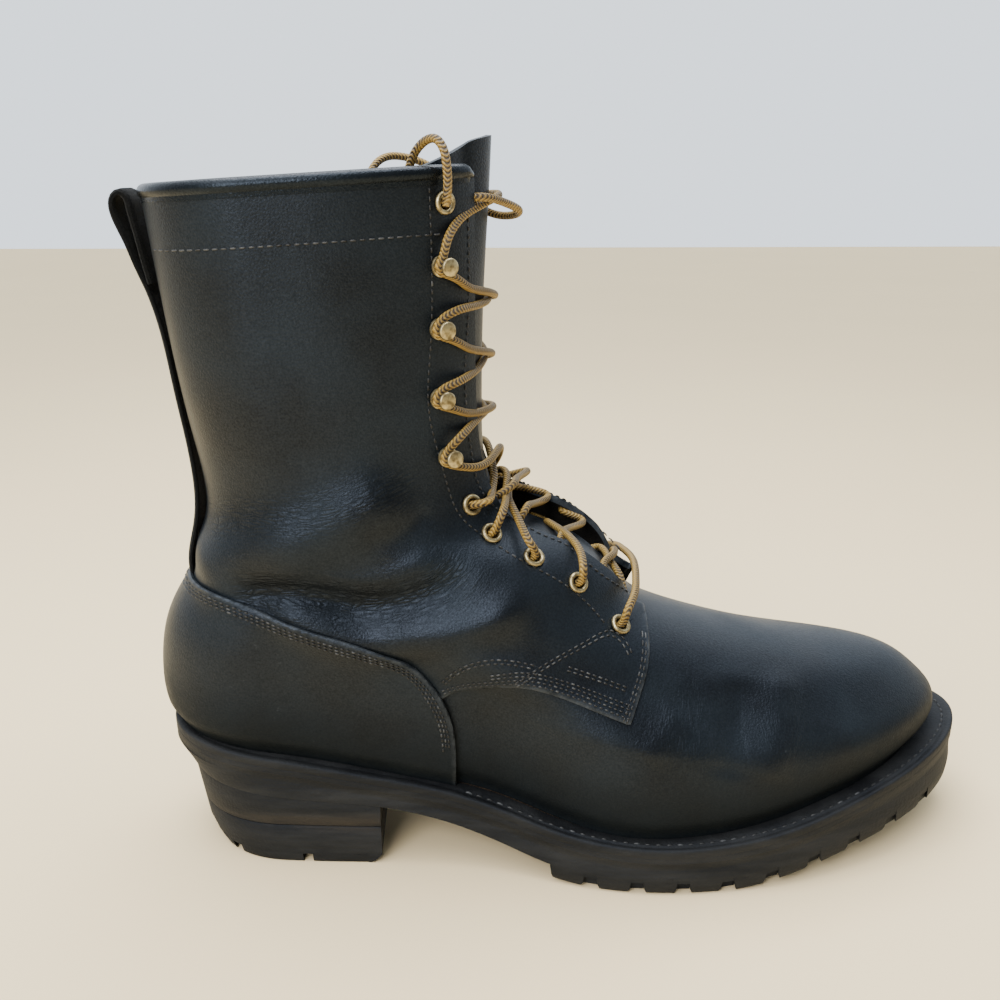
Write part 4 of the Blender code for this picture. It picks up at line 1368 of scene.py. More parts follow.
@dataclass(frozen=True)
class Studio:
    """Camera at the photograph's angle, pale floor and soft light."""

    camera_place: Triple = (124.8, -437.5, 280)
    camera_pitch: float = 16.8
    camera_yaw: float = 2.2
    focal_pixels: float = 1077
    frame_pixels: float = 1000
    sensor: float = 36
    nearest: float = 10
    floor_size: float = 8000
    surround: str = "#e0e9f2"
    surround_turn: Pair = (-0.35, 0.45)
    surround_strength: Pair = (0.35, 2)
    lit_place: Triple = (150, 0, 120)
    lights: tuple[Light, ...] = (
        Light("soft_sky", LightKind.SUN, 2.8, 55, (-250, -420, 1250)),
        Light("softbox", LightKind.AREA, 14.5, 0.8, (120, 150, 1000)),
        Light("front_softbox", LightKind.AREA, 14.5, 0.6, (-350, -950, 640)),
    )

    def build(self) -> None:
        """Make the camera, the floor, the lights and the surrounding light."""
        self.make_camera()
        self.make_floor()
        self.make_surround()
        for light in self.lights:
            self.make_light(light)

    def make_camera(self) -> None:
        """Set the scene's camera."""
        data = bpy.data.cameras.new("camera")
        data.sensor_width = self.sensor
        data.lens = self.focal_pixels / self.frame_pixels * self.sensor
        data.clip_start = self.nearest * MM
        camera = placed("camera", data)
        camera.location = to_frame(self.camera_place)
        tilt, turn = 90 - self.camera_pitch, -self.camera_yaw
        camera.rotation_euler = (math.radians(tilt), 0, math.radians(turn))
        bpy.context.scene.camera = camera

    def make_floor(self) -> None:
        """Lay the floor under the sole."""
        half = 0.5 * self.floor_size * MM
        mesh = bpy.data.meshes.new("floor")
        corners = ((-half, -half, 0), (half, -half, 0), (half, half, 0), (-half, half, 0))
        mesh.from_pydata(corners, [], [(0, 1, 2, 3)])
        mesh.materials.append(FLOOR.material())
        floor = placed("floor", mesh)

    def make_surround(self) -> None:
        """Surround that is pale behind the boot and dimmer in front of it."""
        world = bpy.data.worlds.new("surround")
        world.use_nodes = True
        tree = world.node_tree
        away = add(tree, "SeparateXYZ", (add(tree, "TexCoord", output="Generated"),), "Y")
        shade = tree.nodes["Background"]
        shade.inputs["Color"].default_value = linear(self.surround)
        strength = add(tree, "MapRange", (away, *self.surround_turn, *self.surround_strength))
        tree.links.new(strength, shade.inputs["Strength"])
        bpy.context.scene.world = world

    def make_light(self, light: Light) -> None:
        """Add a soft light that points at the boot.

        Args:
            light: Its kind, power, size and place.
        """
        data = bpy.data.lights.new(light.name, light.kind.value)
        data.energy = light.power
        if light.kind is LightKind.SUN:
            data.angle = math.radians(light.size)
        else:
            data.size = light.size
        lamp = placed(light.name, data)
        lamp.location = to_frame(light.place)
        x, y, z = np.subtract(self.lit_place, light.place)
        lamp.rotation_euler = (math.atan2(math.hypot(x, y), -z), 0, math.atan2(y, x) - 0.5 * math.pi)


# Upper


@dataclass(frozen=True)
class Crease:
    """Soft trough or ridge along a side-view line, in millimetres."""

    line: Line
    depth: float
    width: float
    fade: float = 0.2

    def relief(self, places: Array) -> Array:
        """Lift that the crease gives at side-view places."""
        far, share = nearest_on(smooth_route(self.line, 4), places)
        ends = ease(np.minimum(share, 1 - share) / self.fade)
        return self.depth * ends * np.exp(-(far / self.width) ** 2)


@dataclass(frozen=True)
class Wrinkles:
    """Fine wrinkles that run along a side-view line, with a few wide enough to be modelled."""

    line: Line
    reach: float
    strength: float
    ripple: float = 0
    ripple_pitch: float = 4.6
    ripple_sway: float = 1.5
    sway_length: float = 10
    fade: float = 0.12

    def flow(self, places: Array) -> Array:
        """Flow of the wrinkles.

        Args:
            places: Side-view places.

        Returns:
            Run along the wrinkles, distance across them and strength.
        """
        route = smooth_route(self.line, 3)
        far, share = nearest_on(route, places)
        above = np.where(places[:, 1] > np.interp(places[:, 0], route[:, 0], route[:, 1]), far, -far)
        ends = ease(np.minimum(share, 1 - share) / self.fade)
        return np.column_stack([share * run_along(route)[-1], above,
                                self.strength * ends * np.exp(-(far / self.reach) ** 2)])

    def relief(self, places: Array) -> Array:
        """Lift of the wider wrinkles.

        Args:
            places: Side-view places.

        Returns:
            The lifts.
        """
        along, across, strength = self.flow(places).T
        sway = self.ripple_sway * np.sin(along / self.sway_length)
        wave = np.sin(2 * math.pi * across / self.ripple_pitch + sway)
        return self.ripple * strength * wave


@dataclass(frozen=True)
class Fan:
    """Fine wrinkles that spread from a side-view point."""

    source: Pair
    middle: Pair
    radii: Pair
    strength: float

    def flow(self, places: Array) -> Array:
        """Flow of the wrinkles.

        Args:
            places: Side-view places.

        Returns:
            Run along the wrinkles, distance across them and strength.
        """
        off = places - np.array(self.source)
        along = np.linalg.norm(off, axis=1)
        reach = math.dist(self.source, self.middle)
        gap = (places - np.array(self.middle)) / np.array(self.radii)
        return np.column_stack([along, np.arctan2(off[:, 1], off[:, 0]) * reach,
                                self.strength * np.exp(-(gap ** 2).sum(axis=1))])


VALLEY = ((30, 121), (39, 121.5), (49.5, 122.4), (61.5, 121.5), (71.3, 119.6), (81, 117.5), (91, 117.7),
          (101, 119.8), (109, 122.5), (116.5, 126.1), (122.4, 131), (126.3, 135.7), (129, 141))
CREASES = (
    Crease(VALLEY, -3.4, 6.5),
    Crease(((40, 122), (51, 117), (66, 110), (77, 105), (86, 102.5), (96.5, 102.5), (106, 105), (116, 107),
            (126.5, 109.5), (137, 113), (147, 118), (160, 124)), 3.8, 8),
    Crease(((10, 120), (25, 128), (38, 134.5), (51, 139.5), (63, 143.5), (73, 148), (83, 153.5), (94, 158),
            (108, 166)), 5, 13),
    Crease(((66, 131), (84, 128.5), (102, 132), (116, 141)), 0.6, 3.5),
    Crease(((86, 143), (100, 146), (114, 156)), -0.7, 4.5),
    Crease(((228, 48), (232, 60), (236, 72), (239, 84)), -1.4, 8),
    Crease(((246, 44), (252, 58), (256, 72), (258, 84)), 1.3, 8),
    Crease(((196, 58), (203, 66), (212, 76)), 0.7, 6),
)
ANKLE = Wrinkles(VALLEY, 10, 1, 0.1)
SHAFT = Wrinkles(((17.5, 142.7), (42.9, 153.3), (63.2, 154.7), (78.7, 157.8), (92.1, 162.6), (112, 172)),
                 9, 0.6)
FLEXED = (ANKLE, SHAFT, Fan((220, 125), (215, 66), (17, 20), 0.45),
          Fan((250, 40), (258, 66), (16, 15), 0.34))


class Grid(NamedTuple):
    """Fineness of a panel: spacing of its rows, where that is measured, where it ends, columns."""

    spacing: float
    measured_at: tuple[float, ...]
    end: float
    columns: int


@dataclass(frozen=True)
class Upper:
    """Vamp, quarters and heel counter, sewn together over the last."""

    wall_inside: float = -1.6
    wall_quarter: float = 1.6
    counter_seat: float = 2
    counter_thick: float = 1.8
    edge_round: float = 0.7
    edge_width: float = 1.3
    throat_half: float = 17
    throat_start: float = 150
    throat_slope: float = 1.3
    lap: float = 7
    lip: float = 4
    undercut: float = 2.3
    flare: float = 0.35
    eyelet_hole: float = 3.6
    vamp_top: float = 112
    counter_top: float = 123
    quarter_grid: Grid = Grid(1.3, (20, 120, 198), 206, 150)
    vamp_grid: Grid = Grid(1.4, (LAST.feather.front_x, 140, 230), 104, 150)
    counter_grid: Grid = Grid(1.2, (20, 120), 126, 120)
    below: float = -20
    beyond: float = 380
    tuck: float = 2.2
    tuck_height: float = 11
    facing_rise: float = 7.5
    facing_reach: float = 16
    facing_span: Pair = (134, 220)
    facing_fade: float = 14
    facing_base: float = 86
    base_fade: float = 12
    counter_edge: Line = (
        (-20, 119), (8, 119), (20, 119.5), (32, 118.5), (45, 115), (62, 110), (78, 105), (94, 99.5),
        (105, 94), (112, 86), (117.5, 76), (121, 65), (122, 54), (121.5, 30))
    quarter_edge: Line = (
        (114, 74), (118, 78.5), (127, 83), (137, 86), (147, 87), (157, 85), (168, 81), (179, 76.5),
        (190.5, 72))
    tab_front: Line = (
        (190.5, 72), (194, 79), (198, 88), (200.3, 96), (201, 102), (201, 125))

    def counter_region(self) -> Region:
        """Side view of the counter."""
        edge = smooth_route(self.counter_edge, 3)
        return Region(np.vstack([edge, (edge[-1, 0], self.below), (edge[0, 0], self.below)]))

    def vamp_region(self) -> Region:
        """Side view of the vamp that shows below the quarters."""
        edge = np.vstack([smooth_route(self.quarter_edge, 3), smooth_route(self.tab_front, 3)[1:]])
        corners = ((self.beyond, edge[-1, 1]), (self.beyond, self.below), (edge[0, 0], self.below))
        return Region(np.vstack([edge, *corners]))

    def edge_drop(self, panel: Panel) -> Array:
        """How far the outer face rolls down towards the panel's cut edges."""
        near = 1 - np.clip(panel.edge / self.edge_width, 0, 1)
        return self.edge_round * (1 - np.sqrt(1 - near ** 2))

    def relief(self, points: Array) -> Array:
        """Lift of the creases, and of the medial facing that stands off the tongue.

        Args:
            points: Points of the middle surface.

        Returns:
            The lifts.
        """
        x, y, z = points.T
        first, last = self.facing_span
        span = ease((x - first) / self.facing_fade) * ease((last - x) / self.facing_fade)
        near = ease(1 - (y - self.throat_half) / self.facing_reach) * (y > 0)
        tall = ease((z - self.facing_base) / self.base_fade)
        raised = ANKLE.relief(side_view(points)) + self.facing_rise * near * span * tall
        return self.shaping(points) + raised

    def shaping(self, points: Array) -> Array:
        """Lift of the creases and of the tuck above the welt at points of the middle surface."""
        above = points[:, 2] - LAST.sole("top_z", points[:, 0])
        tucked = self.tuck * (1 - ease(above / self.tuck_height))
        return sum(crease.relief(side_view(points)) for crease in CREASES) - tucked

    def build(self, holes: Sequence[Array]) -> None:
        """Make the panels.

        Args:
            holes: Seats of the eyelets, which are cut through the quarters.
        """
        for side in Side:
            self.make_quarter(side, holes)
        self.make_vamp()
        self.make_counter()

    def make_quarter(self, side: Side, holes: Sequence[Array]) -> None:
        """Quarter and shaft of one side.

        Args:
            side: Its side.
            holes: Seats of the eyelets.
        """
        grid = self.quarter_grid
        heights = row_heights(LAST.feather.back_z, LAST.collar.back_z, grid)
        last_run = np.where(heights > LAST.throat_base, 1, LAST.run_at(heights, grid.end))
        panel = Panel.over(Wrap.ONE_SIDE, side, heights, (np.zeros(len(heights)), last_run), grid.columns)
        vamp = self.vamp_region()
        panel.cut(lambda points: -vamp.distance(side_view(points)))
        panel.cut(lambda points: np.maximum(side.value * points[:, 1] - self.throat_half,
                                            self.throat_slope * (self.throat_start - points[:, 0])))
        for seat in holes:
            panel.cut(lambda points: np.linalg.norm(points - seat, axis=1) - self.eyelet_hole)
        points = panel.surface()[0]
        relief = self.relief(points)
        lip = 1 - ease(-vamp.distance(side_view(points)) / self.lip)
        shape = panel.solid(self.wall_quarter + relief + self.flare * lip - self.edge_drop(panel),
                            self.wall_inside + relief + self.undercut * lip)
        self.mark_wrinkles(shape)
        piece(f"quarter_{side.word}", shape, LEATHER, ("upper",))

    def make_vamp(self) -> None:
        """Vamp over the toe, tucked under the quarters."""
        grid = self.vamp_grid
        heights = row_heights(LAST.feather.back_z, self.vamp_top, grid)
        runs = LAST.run_at(heights, grid.end), np.ones(len(heights))
        panel = Panel.over(Wrap.ROUND_FRONT, Side.LATERAL, heights, runs, grid.columns, True)
        vamp = self.vamp_region()
        panel.cut(lambda points: vamp.distance(side_view(points)) + self.lap)
        relief = self.shaping(panel.surface()[0])
        shape = panel.solid(relief, self.wall_inside + relief)
        self.mark_wrinkles(shape)
        piece("vamp", shape, LEATHER, ("upper",))

    def make_counter(self) -> None:
        """Counter laid over the quarters round the heel."""
        grid = self.counter_grid
        heights = row_heights(LAST.feather.back_z, self.counter_top, grid)
        runs = np.zeros(len(heights)), LAST.run_at(heights, grid.end)
        panel = Panel.over(Wrap.ROUND_BACK, Side.MEDIAL, heights, runs, grid.columns)
        region = self.counter_region()
        panel.cut(lambda points: region.distance(side_view(points)))
        seat = self.counter_seat + self.relief(panel.surface()[0])
        shape = panel.solid(seat + self.counter_thick - self.edge_drop(panel), seat)
        self.mark_wrinkles(shape)
        piece("heel_counter", shape, LEATHER, ("counter",))

    def mark_wrinkles(self, shape: Shape) -> None:
        """Mark the flexed places that carry fine wrinkles.

        Args:
            shape: The panel's mesh, which gets the flow of its wrinkles as a value.
        """
        flows = np.array([family.flow(side_view(shape.points)) for family in FLEXED])
        strongest = flows[..., 2].argmax(axis=0)
        shape.values["flex"] = flows[strongest, np.arange(len(shape.points))]


@dataclass(frozen=True)
class CollarBinding:
    """Rolled leather edge on the collar's rim."""

    half: float = 3.1
    height: float = 5.4
    columns: int = 60
    taper_length: float = 6
    taper_share: float = 0.5
    overlap: float = 1.6
    neck: float = 1.85
    arc: Pair = (-0.28, 1.28)
    arc_points: int = 19
    middle: float = 0.45
    roundness: float = 1.2

    def build(self) -> None:
        """Sweep a round section along the rim, drawn in at its front ends."""
        rim = LAST.ring(LAST.collar.back_z, self.columns, 0)
        outward = unit((LAST.ring(LAST.collar.back_z, self.columns, 1) - rim) * (1, 1, 0))
        angles = np.linspace(self.arc[0] * math.pi, self.arc[1] * math.pi, self.arc_points)
        across = self.half * np.cos(angles)
        up = self.middle * self.height * (1 + np.sin(angles) * self.roundness)
        across = np.concatenate([across, [-self.neck, self.neck]])
        up = np.clip(np.concatenate([up, [-self.overlap, -self.overlap]]), -self.overlap, self.height)
        length = run_along(rim)
        from_end = np.minimum(length, length[-1] - length)
        size = self.taper_share + (1 - self.taper_share) * np.sqrt(ease(from_end / self.taper_length))
        across, up = size[:, None] * across, size[:, None] * up
        lift = np.array((0, 0, 1))
        sections = rim[:, None] + outward[:, None] * across[..., None] + lift * up[..., None]
        piece("collar_roll", sweep(sections), BINDING_LEATHER, ("collar_binding",))


@dataclass(frozen=True)
class BackStrap:
    """Napped strap up the back seam that folds into the pull loop."""

    width: float = 20
    thick: float = 2.4
    loop_swell: float = 1
    loop_length: float = 45
    bow: float = 1.2
    bow_start: float = 60
    fade: float = 20
    columns: int = 17
    edge_power: float = 9
    edge_least: float = 0.12
    step: float = 1.5
    seat: float = 1.6 + GAP + 1.2
    leg: Line = ((240, 0.6), (251, 1.6), (261, 2.4))
    fold: Line = (
        (0.3, 268.6), (-0.6, 272), (-2.9, 273.6), (-5.2, 272.3), (-6.2, 269), (-5.2, 264), (-2.6, 257),
        (1.8, 243), (5.6, 230.5))
    seam: Line = (
        (216, 0.6), (198, 0.6), (180, 0.9), (165, 1.8), (152, 2.5), (141, 2.9), (131, 2.8),
        (123.5, 1.2), (118, -2))

    def build(self) -> None:
        """Sweep the strap's section along its route."""
        route = [self.on_back(h, lift) for h, lift in self.leg]
        route += [(x, 0, z) for x, z in self.fold]
        route += [self.on_back(h, lift) for h, lift in self.seam]
        path = smooth_route(route, self.step)
        along = unit(np.gradient(path, axis=0))
        normal = unit(np.cross(along, (0, 1, 0)))
        shares = np.sin(0.5 * math.pi * np.linspace(-1, 1, self.columns))
        thin = 0.5 * np.sqrt(np.clip(1 - np.abs(shares) ** self.edge_power, self.edge_least, 1))
        length = run_along(path)
        thick = self.thick + self.loop_swell * (1 - ease((length - self.loop_length) / self.fade))
        bow = self.bow * ease((length - self.bow_start) / self.fade)
        sections = []
        for sign, order in ((1, slice(None)), (-1, slice(None, None, -1))):
            across = np.array((0, 0.5 * self.width, 0)) * shares[order][None, :, None]
            out = sign * normal[:, None] * (thick[:, None] * thin[order][None, :])[..., None]
            back = np.array((1, 0, 0)) * (bow[:, None] * shares[order][None, :] ** 2)[..., None]
            sections.append(path[:, None] + across + out + back)
        shape = sweep(np.concatenate(sections, axis=1))
        piece("pull_strap", shape, SUEDE, ("back_strap",))

    def on_back(self, height: float, extra: float) -> Triple:
        """Point of the strap's middle line on the back seam."""
        x, _, z = LAST.lifted(height, 0, -1, self.seat + extra)
        return float(x), 0, float(z)


class TongueLevel(NamedTuple):
    """A row of the tongue: height, clearance, bulge between the facings, rise and wing droop."""

    height: float
    clear: float
    bulge: float
    rise: float = 0
    droop: float = 0


@dataclass(frozen=True)
class Tongue:
    """Tall tongue that bulges between the facings and stands above the collar."""

    levels: tuple[TongueLevel, ...] = tuple(TongueLevel(*row) for row in (
        (110, 0.8, 0.5), (115.5, 0.8, 0.5), (121, 0.9, 0.6), (126.5, 0.9, 0.8), (133, 1, 1), (139, 1, 1.2),
        (147, 1, 1.7), (155, 1, 2.6), (168, 1, 4), (181, 0.8, 5), (205, 0.8, 6.2), (235, 1.2, 7.6),
        (267, 3, 11.2), (271.5, 3, 12.2, 15.7, 13)))
    thick: float = 2.2
    root: float = 1.2
    wrap: float = 0.82
    wings: tuple[float, ...] = (0, 10, 26)
    cap: tuple[float, ...] = (-0.8, -0.4, 0, 0.4, 0.8)
    wall_inside: float = -1.6
    droop_power: float = 1.8
    rows: int = 130
    columns: int = 60

    def row(self, level: TongueLevel) -> Array:
        """Front face at one level, lateral wing to medial wing.

        Args:
            level: The level.

        Returns:
            Points across it.
        """
        lift = self.wall_inside - level.clear
        _, back_x, front_x = LAST.level(np.asarray(level.height))[:3]
        runs = 1 - self.wrap * np.array(self.wings) / (front_x - back_x)
        lateral, medial = (LAST.lifted(level.height, runs, np.full(runs.shape, sign), lift)
                           for sign in (-1, 1))
        middle, half = 0.5 * (lateral[0] + medial[0]), 0.5 * (medial[0] - lateral[0])
        ahead = unit(LAST.normal(level.height, 1, -1) + LAST.normal(level.height, 1, 1))
        share = np.array(self.cap)[:, None]
        cap = middle + half * share + ahead * level.bulge * (1 - share ** 2)
        row = np.vstack([lateral[::-1], cap, medial])
        row[:, 2] += level.rise - level.droop * np.abs(np.linspace(-1, 1, len(row))) ** self.droop_power
        return row

    def build(self) -> None:
        """Smooth sheet through the rows, with a thickness."""
        rows = [self.row(level) for level in self.levels]
        rows.insert(0, rows[0] + (rows[0] - rows[1]) * self.root)
        rows = np.array(rows)
        tall = run_along(rows[:, rows.shape[1] // 2])
        front = spline(tall, rows, np.linspace(0, tall[-1], self.rows))
        wide = np.linspace(0, 1, front.shape[1])
        even = np.linspace(0, 1, self.columns)
        front = np.moveaxis(spline(wide, np.moveaxis(front, 1, 0), even), 0, 1)
        normal = unit(np.cross(np.gradient(front, axis=1), np.gradient(front, axis=0)))
        normal *= np.sign(normal[..., 0].sum())
        back = front - self.thick * normal
        faces, lining_from = sheet_faces(grid_faces(self.rows, self.columns), self.rows * self.columns)
        points = np.vstack([front.reshape(-1, 3), back.reshape(-1, 3)])
        shape = Shape(points, faces, lining_from=lining_from)
        piece("tall_tongue", shape, LEATHER, ("tongue",))


# Sole


@dataclass(frozen=True)
class Sole:
    """Footbed, welt, midsole and lugged outsole."""

    welt_thick: float = 4
    midsole_thick: float = 5
    welt_tuck: float = 3
    lug_depth: float = 7
    lug_start: float = 160
    lug_pitch: float = 18.6
    lug_length: float = 13.6
    lug_shares: Line = ((-1, -0.56), (-0.46, 0.46), (0.56, 1))
    lug_profile: Line = ((0, 0), (0.1, 0.3), (0.5, 0.7), (1.2, 0.92), (2, 1))
    lug_sink: float = 0.6
    toe_margin: float = 8
    web_lap: Pair = (1.6, 1.2)
    web_floor: float = 0.2
    web_profile: Line = ((0.25, 0), (0.3, 1))
    webs: Way = (
        (-1, -0.92, 1.6), (0.92, 1, 1.6), (-0.94, -0.84, 6.6), (0.84, 0.94, 6.6))
    heel_front: float = 90
    heel_step: float = 7
    footbed_clear: float = 2.7
    footbed_rise: float = 1.5
    footbed_profile: Line = ((0.8, 0), (0, 0.15), (0, 1))
    midsole_profile: Line = ((0.3, 0), (0.1, 0.04), (0.1, 0.44), (0.4, 0.5), (0.5, 1))
    outsole_profile: Line = ((0.6, 0), (0.5, 0.06), (0.4, 0.5), (0, 0.9), (0.1, 1))
    columns: int = 150

    def top(self, x: Array) -> Array:
        """Top of the welt."""
        return LAST.sole("top_z", x)

    def welt_under(self, x: Array) -> Array:
        """Underside of the welt."""
        return self.top(x) - self.welt_thick

    def midsole_top(self, x: Array) -> Array:
        """Top of the midsole."""
        return self.welt_under(x) - GAP

    def midsole_under(self, x: Array) -> Array:
        """Underside of the midsole."""
        return self.midsole_top(x) - self.midsole_thick

    def outsole_top(self, x: Array) -> Array:
        """Top of the outsole."""
        return self.midsole_under(x) - GAP

    def under(self, x: Array) -> Array:
        """Underside of the outsole between its lugs."""
        return LAST.sole("under_z", x)

    def lug_top(self, x: Array) -> Array:
        """Top of the lugs, sunk into the outsole."""
        return self.under(x) + self.lug_sink

    def lug_under(self, x: Array) -> Array:
        """Underside of the lugs."""
        return np.maximum(self.under(x) - self.lug_depth, 0)

    def outline(self, share: float, first: float = HEEL_X, last: float = TOE_X) -> Array:
        """Plan line at a share of the half width, from back to front."""
        return self.plan(first + (last - first) * end_dense(self.columns), share)

    def plan(self, x: Array, share: float) -> Array:
        """Plan points at x, at a share of the half width."""
        return np.column_stack([x, LAST.sole("axis_y", x) + share * LAST.sole_half(x)])

    def feather_line(self, sign: float, tuck: float) -> Array:
        """Plan line of the upper's lower edge.

        Args:
            sign: Side's sign.
            tuck: How far the line is drawn in.

        Returns:
            Points of the line.
        """
        feather = LAST.feather
        runs = end_dense(self.columns)
        line = LAST.point(feather.back_z, runs, sign)[:, :2]
        first, last = feather.back_x + tuck, feather.front_x - tuck
        x = first + (last - first) * runs
        half = (line[:, 1] - LAST.sole("axis_y", line[:, 0])) * (1 - tuck / feather.toe)
        return np.column_stack([x, LAST.sole("axis_y", x) + half])

    def build(self) -> None:
        """Make the layers from the footbed down."""
        self.make_footbed()
        self.make_welt()
        self.make_midsole()
        self.make_outsole()

    def make_footbed(self) -> None:
        """Footbed inside the welt."""
        tuck = self.welt_tuck + GAP + self.footbed_clear
        shape = slab(self.feather_line(-1, tuck), self.feather_line(1, tuck),
                     lambda x: self.top(x) + self.footbed_rise, lambda x: self.midsole_top(x) + GAP,
                     self.footbed_profile)
        piece("footbed", shape, FOOTBED, ("insole",))

    def make_welt(self) -> None:
        """Welt round the upper, with a stitch groove and a rounded edge."""
        outer = np.vstack([self.outline(-1), self.outline(1)[-2:0:-1]])
        lateral, medial = (self.feather_line(sign, self.welt_tuck) for sign in (-1, 1))
        inner = np.vstack([lateral, medial[-2:0:-1]])
        width = np.linalg.norm(outer - inner, axis=1, keepdims=True)
        inward = (inner - outer) / np.maximum(width, 1e-6)
        # Section from the inner edge over the top to the outer edge and back underneath, as
        # (distance from the outer edge, drop from the top); None stands for the inner edge
        section = ((None, 0), (5.4, 0), (4.6, 0.5), (3.6, 0.55), (2.8, 0.05), (1.2, 0), (0.5, 0.2),
                   (0.1, 0.6), (0, 1.2), (0, 3.4), (0.3, 4), (None, 4))
        rows = []
        for reach, drop in section:
            far = width if reach is None else np.minimum(reach, 0.92 * width)
            plan = outer + inward * far
            rows.append(np.column_stack([plan, self.top(plan[:, 0]) - drop]))
        shape = sweep(np.moveaxis(np.array(rows), 0, 1), closed=True)
        piece("stitched_welt", shape, RUBBER, ("welt",))

    def make_midsole(self) -> None:
        """Midsole with a fine ledge line under the welt."""
        shape = slab(self.outline(-1), self.outline(1), lambda x: self.midsole_top(x) + 2 * GAP,
                     self.midsole_under, self.midsole_profile)
        piece("midsole_layer", shape, RUBBER, ("midsole",))

    def make_outsole(self) -> None:
        """Outsole with its blocks of lugs."""
        shape = slab(self.outline(-1), self.outline(1), lambda x: self.outsole_top(x) + 2 * GAP,
                     self.under, self.outsole_profile, self.stepped)
        starts = np.arange(self.lug_start, TOE_X - self.toe_margin, self.lug_pitch)
        behind, ahead = self.web_lap
        for x in starts[:-1]:
            for low, high in self.lug_shares:
                shape = shape.joined(self.lug(x, x + self.lug_length, low, high))
            for low, high, depth in self.webs:
                web = self.web(x + self.lug_length - behind, x + self.lug_pitch + ahead, low, high, depth)
                shape = shape.joined(web)
        shape = shape.joined(self.lug(starts[-1], TOE_X, -1, 1))
        piece("lugged_outsole", shape, RUBBER, ("outsole",))

    def heel_share(self, x: Array) -> Array:
        """How near a place is to the back of the heel, from 0 at its breast to 1."""
        return np.clip((self.heel_front - x) / (self.heel_front - HEEL_X), 0, None)

    def stepped(self, points: Array) -> Array:
        """Draw the outsole forward over the heel, towards its underside."""
        x, y, z = points.T
        depth = (self.outsole_top(x) - z) / (self.outsole_top(x) - self.under(x))
        return np.column_stack([x + self.heel_step * depth * self.heel_share(x), y, z])

    def web(self, first: float, last: float, low: float, high: float, depth: float) -> Shape:
        """Wall of some depth between two lugs near the outer edge, with the arguments of lug()."""
        x = np.linspace(first, last, 5)
        return slab(self.plan(x, low), self.plan(x, high), self.lug_top,
                    lambda at: np.maximum(self.under(at) - depth, self.web_floor), self.web_profile)

    def lug(self, first: float, last: float, low: float, high: float) -> Shape:
        """One lug, narrower at its foot.

        Args:
            first: Its back end.
            last: Its front end.
            low: Share of the half width at one side.
            high: Share of the half width at the other side.

        Returns:
            The shape.
        """
        x = np.linspace(first, last, 7)
        if last == TOE_X:
            x = first + (last - first) * np.sin(0.5 * math.pi * np.linspace(0, 1, 17))
        return slab(self.plan(x, low), self.plan(x, high), self.lug_top, self.lug_under, self.lug_profile)


@dataclass(frozen=True)
class Heel:
    """Stacked heel: a tapered block and a notched wearing layer."""

    sole: Sole
    lift_height: float = 18
    rake: float = 6
    taper: float = 0.04
    corner_height: float = 10
    corner_reach: float = 5
    chamfer_height: float = 4
    chamfer_reach: float = 4.5
    notches: Line = ((14, 19), (51, 56))
    notch_depth: float = 4
    pad_lap: float = 0.4
    breast_fade: float = 8
    side_shares: Pair = (-0.985, 0.985)
    block_profile: Line = ((0.3, 0), (0, 0.05), (0, 0.95), (0.4, 1))
    lift_profile: Line = ((0.5, 0), (0, 0.05), (0, 0.6), (0, 1))
    pad_profile: Line = ((0, 0), (0, 0.4), (0, 0.8), (0.6, 1))

    def shaped(self, points: Array) -> Array:
        """Rake the back forward, draw the sides in towards the floor and round the lower corners.

        Args:
            points: Points of an upright heel.

        Returns:
            The moved points.
        """
        x, y, z = points.T
        drop = 1 - z / self.sole.under(x)
        share = self.sole.heel_share(x)
        low = np.clip(1 - z / self.corner_height, 0, 1) ** 2
        moved = x + (self.sole.heel_step + self.rake * drop) * share + self.corner_reach * low * share ** 6
        foot = np.clip(1 - z / self.chamfer_height, 0, 1)
        breast = ease((x - self.sole.heel_front + self.breast_fade) / self.breast_fade)
        moved = moved - self.chamfer_reach * foot * breast
        return np.column_stack([moved, y * (1 - self.taper * drop), z])

    def build(self) -> None:
        """Make the block and the wearing layer."""
        block = self.layer(lambda x: self.sole.under(x) - GAP, self.lift_height + GAP, self.block_profile)
        piece("heel_stack", block, RUBBER, ("heel_block",))
        lift = self.layer(self.flat(self.lift_height), self.notch_depth, self.lift_profile)
        ends = [HEEL_X] + [x for notch in self.notches for x in notch] + [self.sole.heel_front]
        pad_top = self.flat(self.notch_depth + self.pad_lap)
        for first, last in zip(ends[::2], ends[1::2]):
            lift = lift.joined(self.layer(pad_top, 0, self.pad_profile, first, last))
        piece("wearing_lift", lift, RUBBER, ("heel_lift",))

    def flat(self, height: float) -> Callable[[Array], Array]:
        """A level face, as a height at each x."""
        return lambda x: np.full(x.shape, height)

    def layer(self, top: Callable[[Array], Array], under: float, profile: Line,
              first: float = HEEL_X, last: Optional[float] = None) -> Shape:
        """A layer of the heel.

        Args:
            top: Height of its top at x.
            under: Height of its level underside.
            profile: Rows down its side.
            first: Its back end.
            last: Its front end, or None for the heel's breast.

        Returns:
            The shape.
        """
        front = self.sole.heel_front if last is None else last
        sides = [self.sole.outline(share, first, front) for share in self.side_shares]
        return slab(*sides, top, self.flat(under), profile, self.shaped)


# Lace hardware and laces


class LaceStation(NamedTuple):
    """A pair of eyelets or hooks, in side view."""

    kind: HardwareKind
    x: float
    z: float


@dataclass(frozen=True)
class Seat:
    """Seat of a piece of hardware with its directions."""

    point: Array
    outward: Array
    ahead: Array
    up: Array

    def at(self, out: float, ahead: float = 0, up: float = 0) -> Array:
        """Point at distances from the seat."""
        return self.point + out * self.outward + ahead * self.ahead + up * self.up


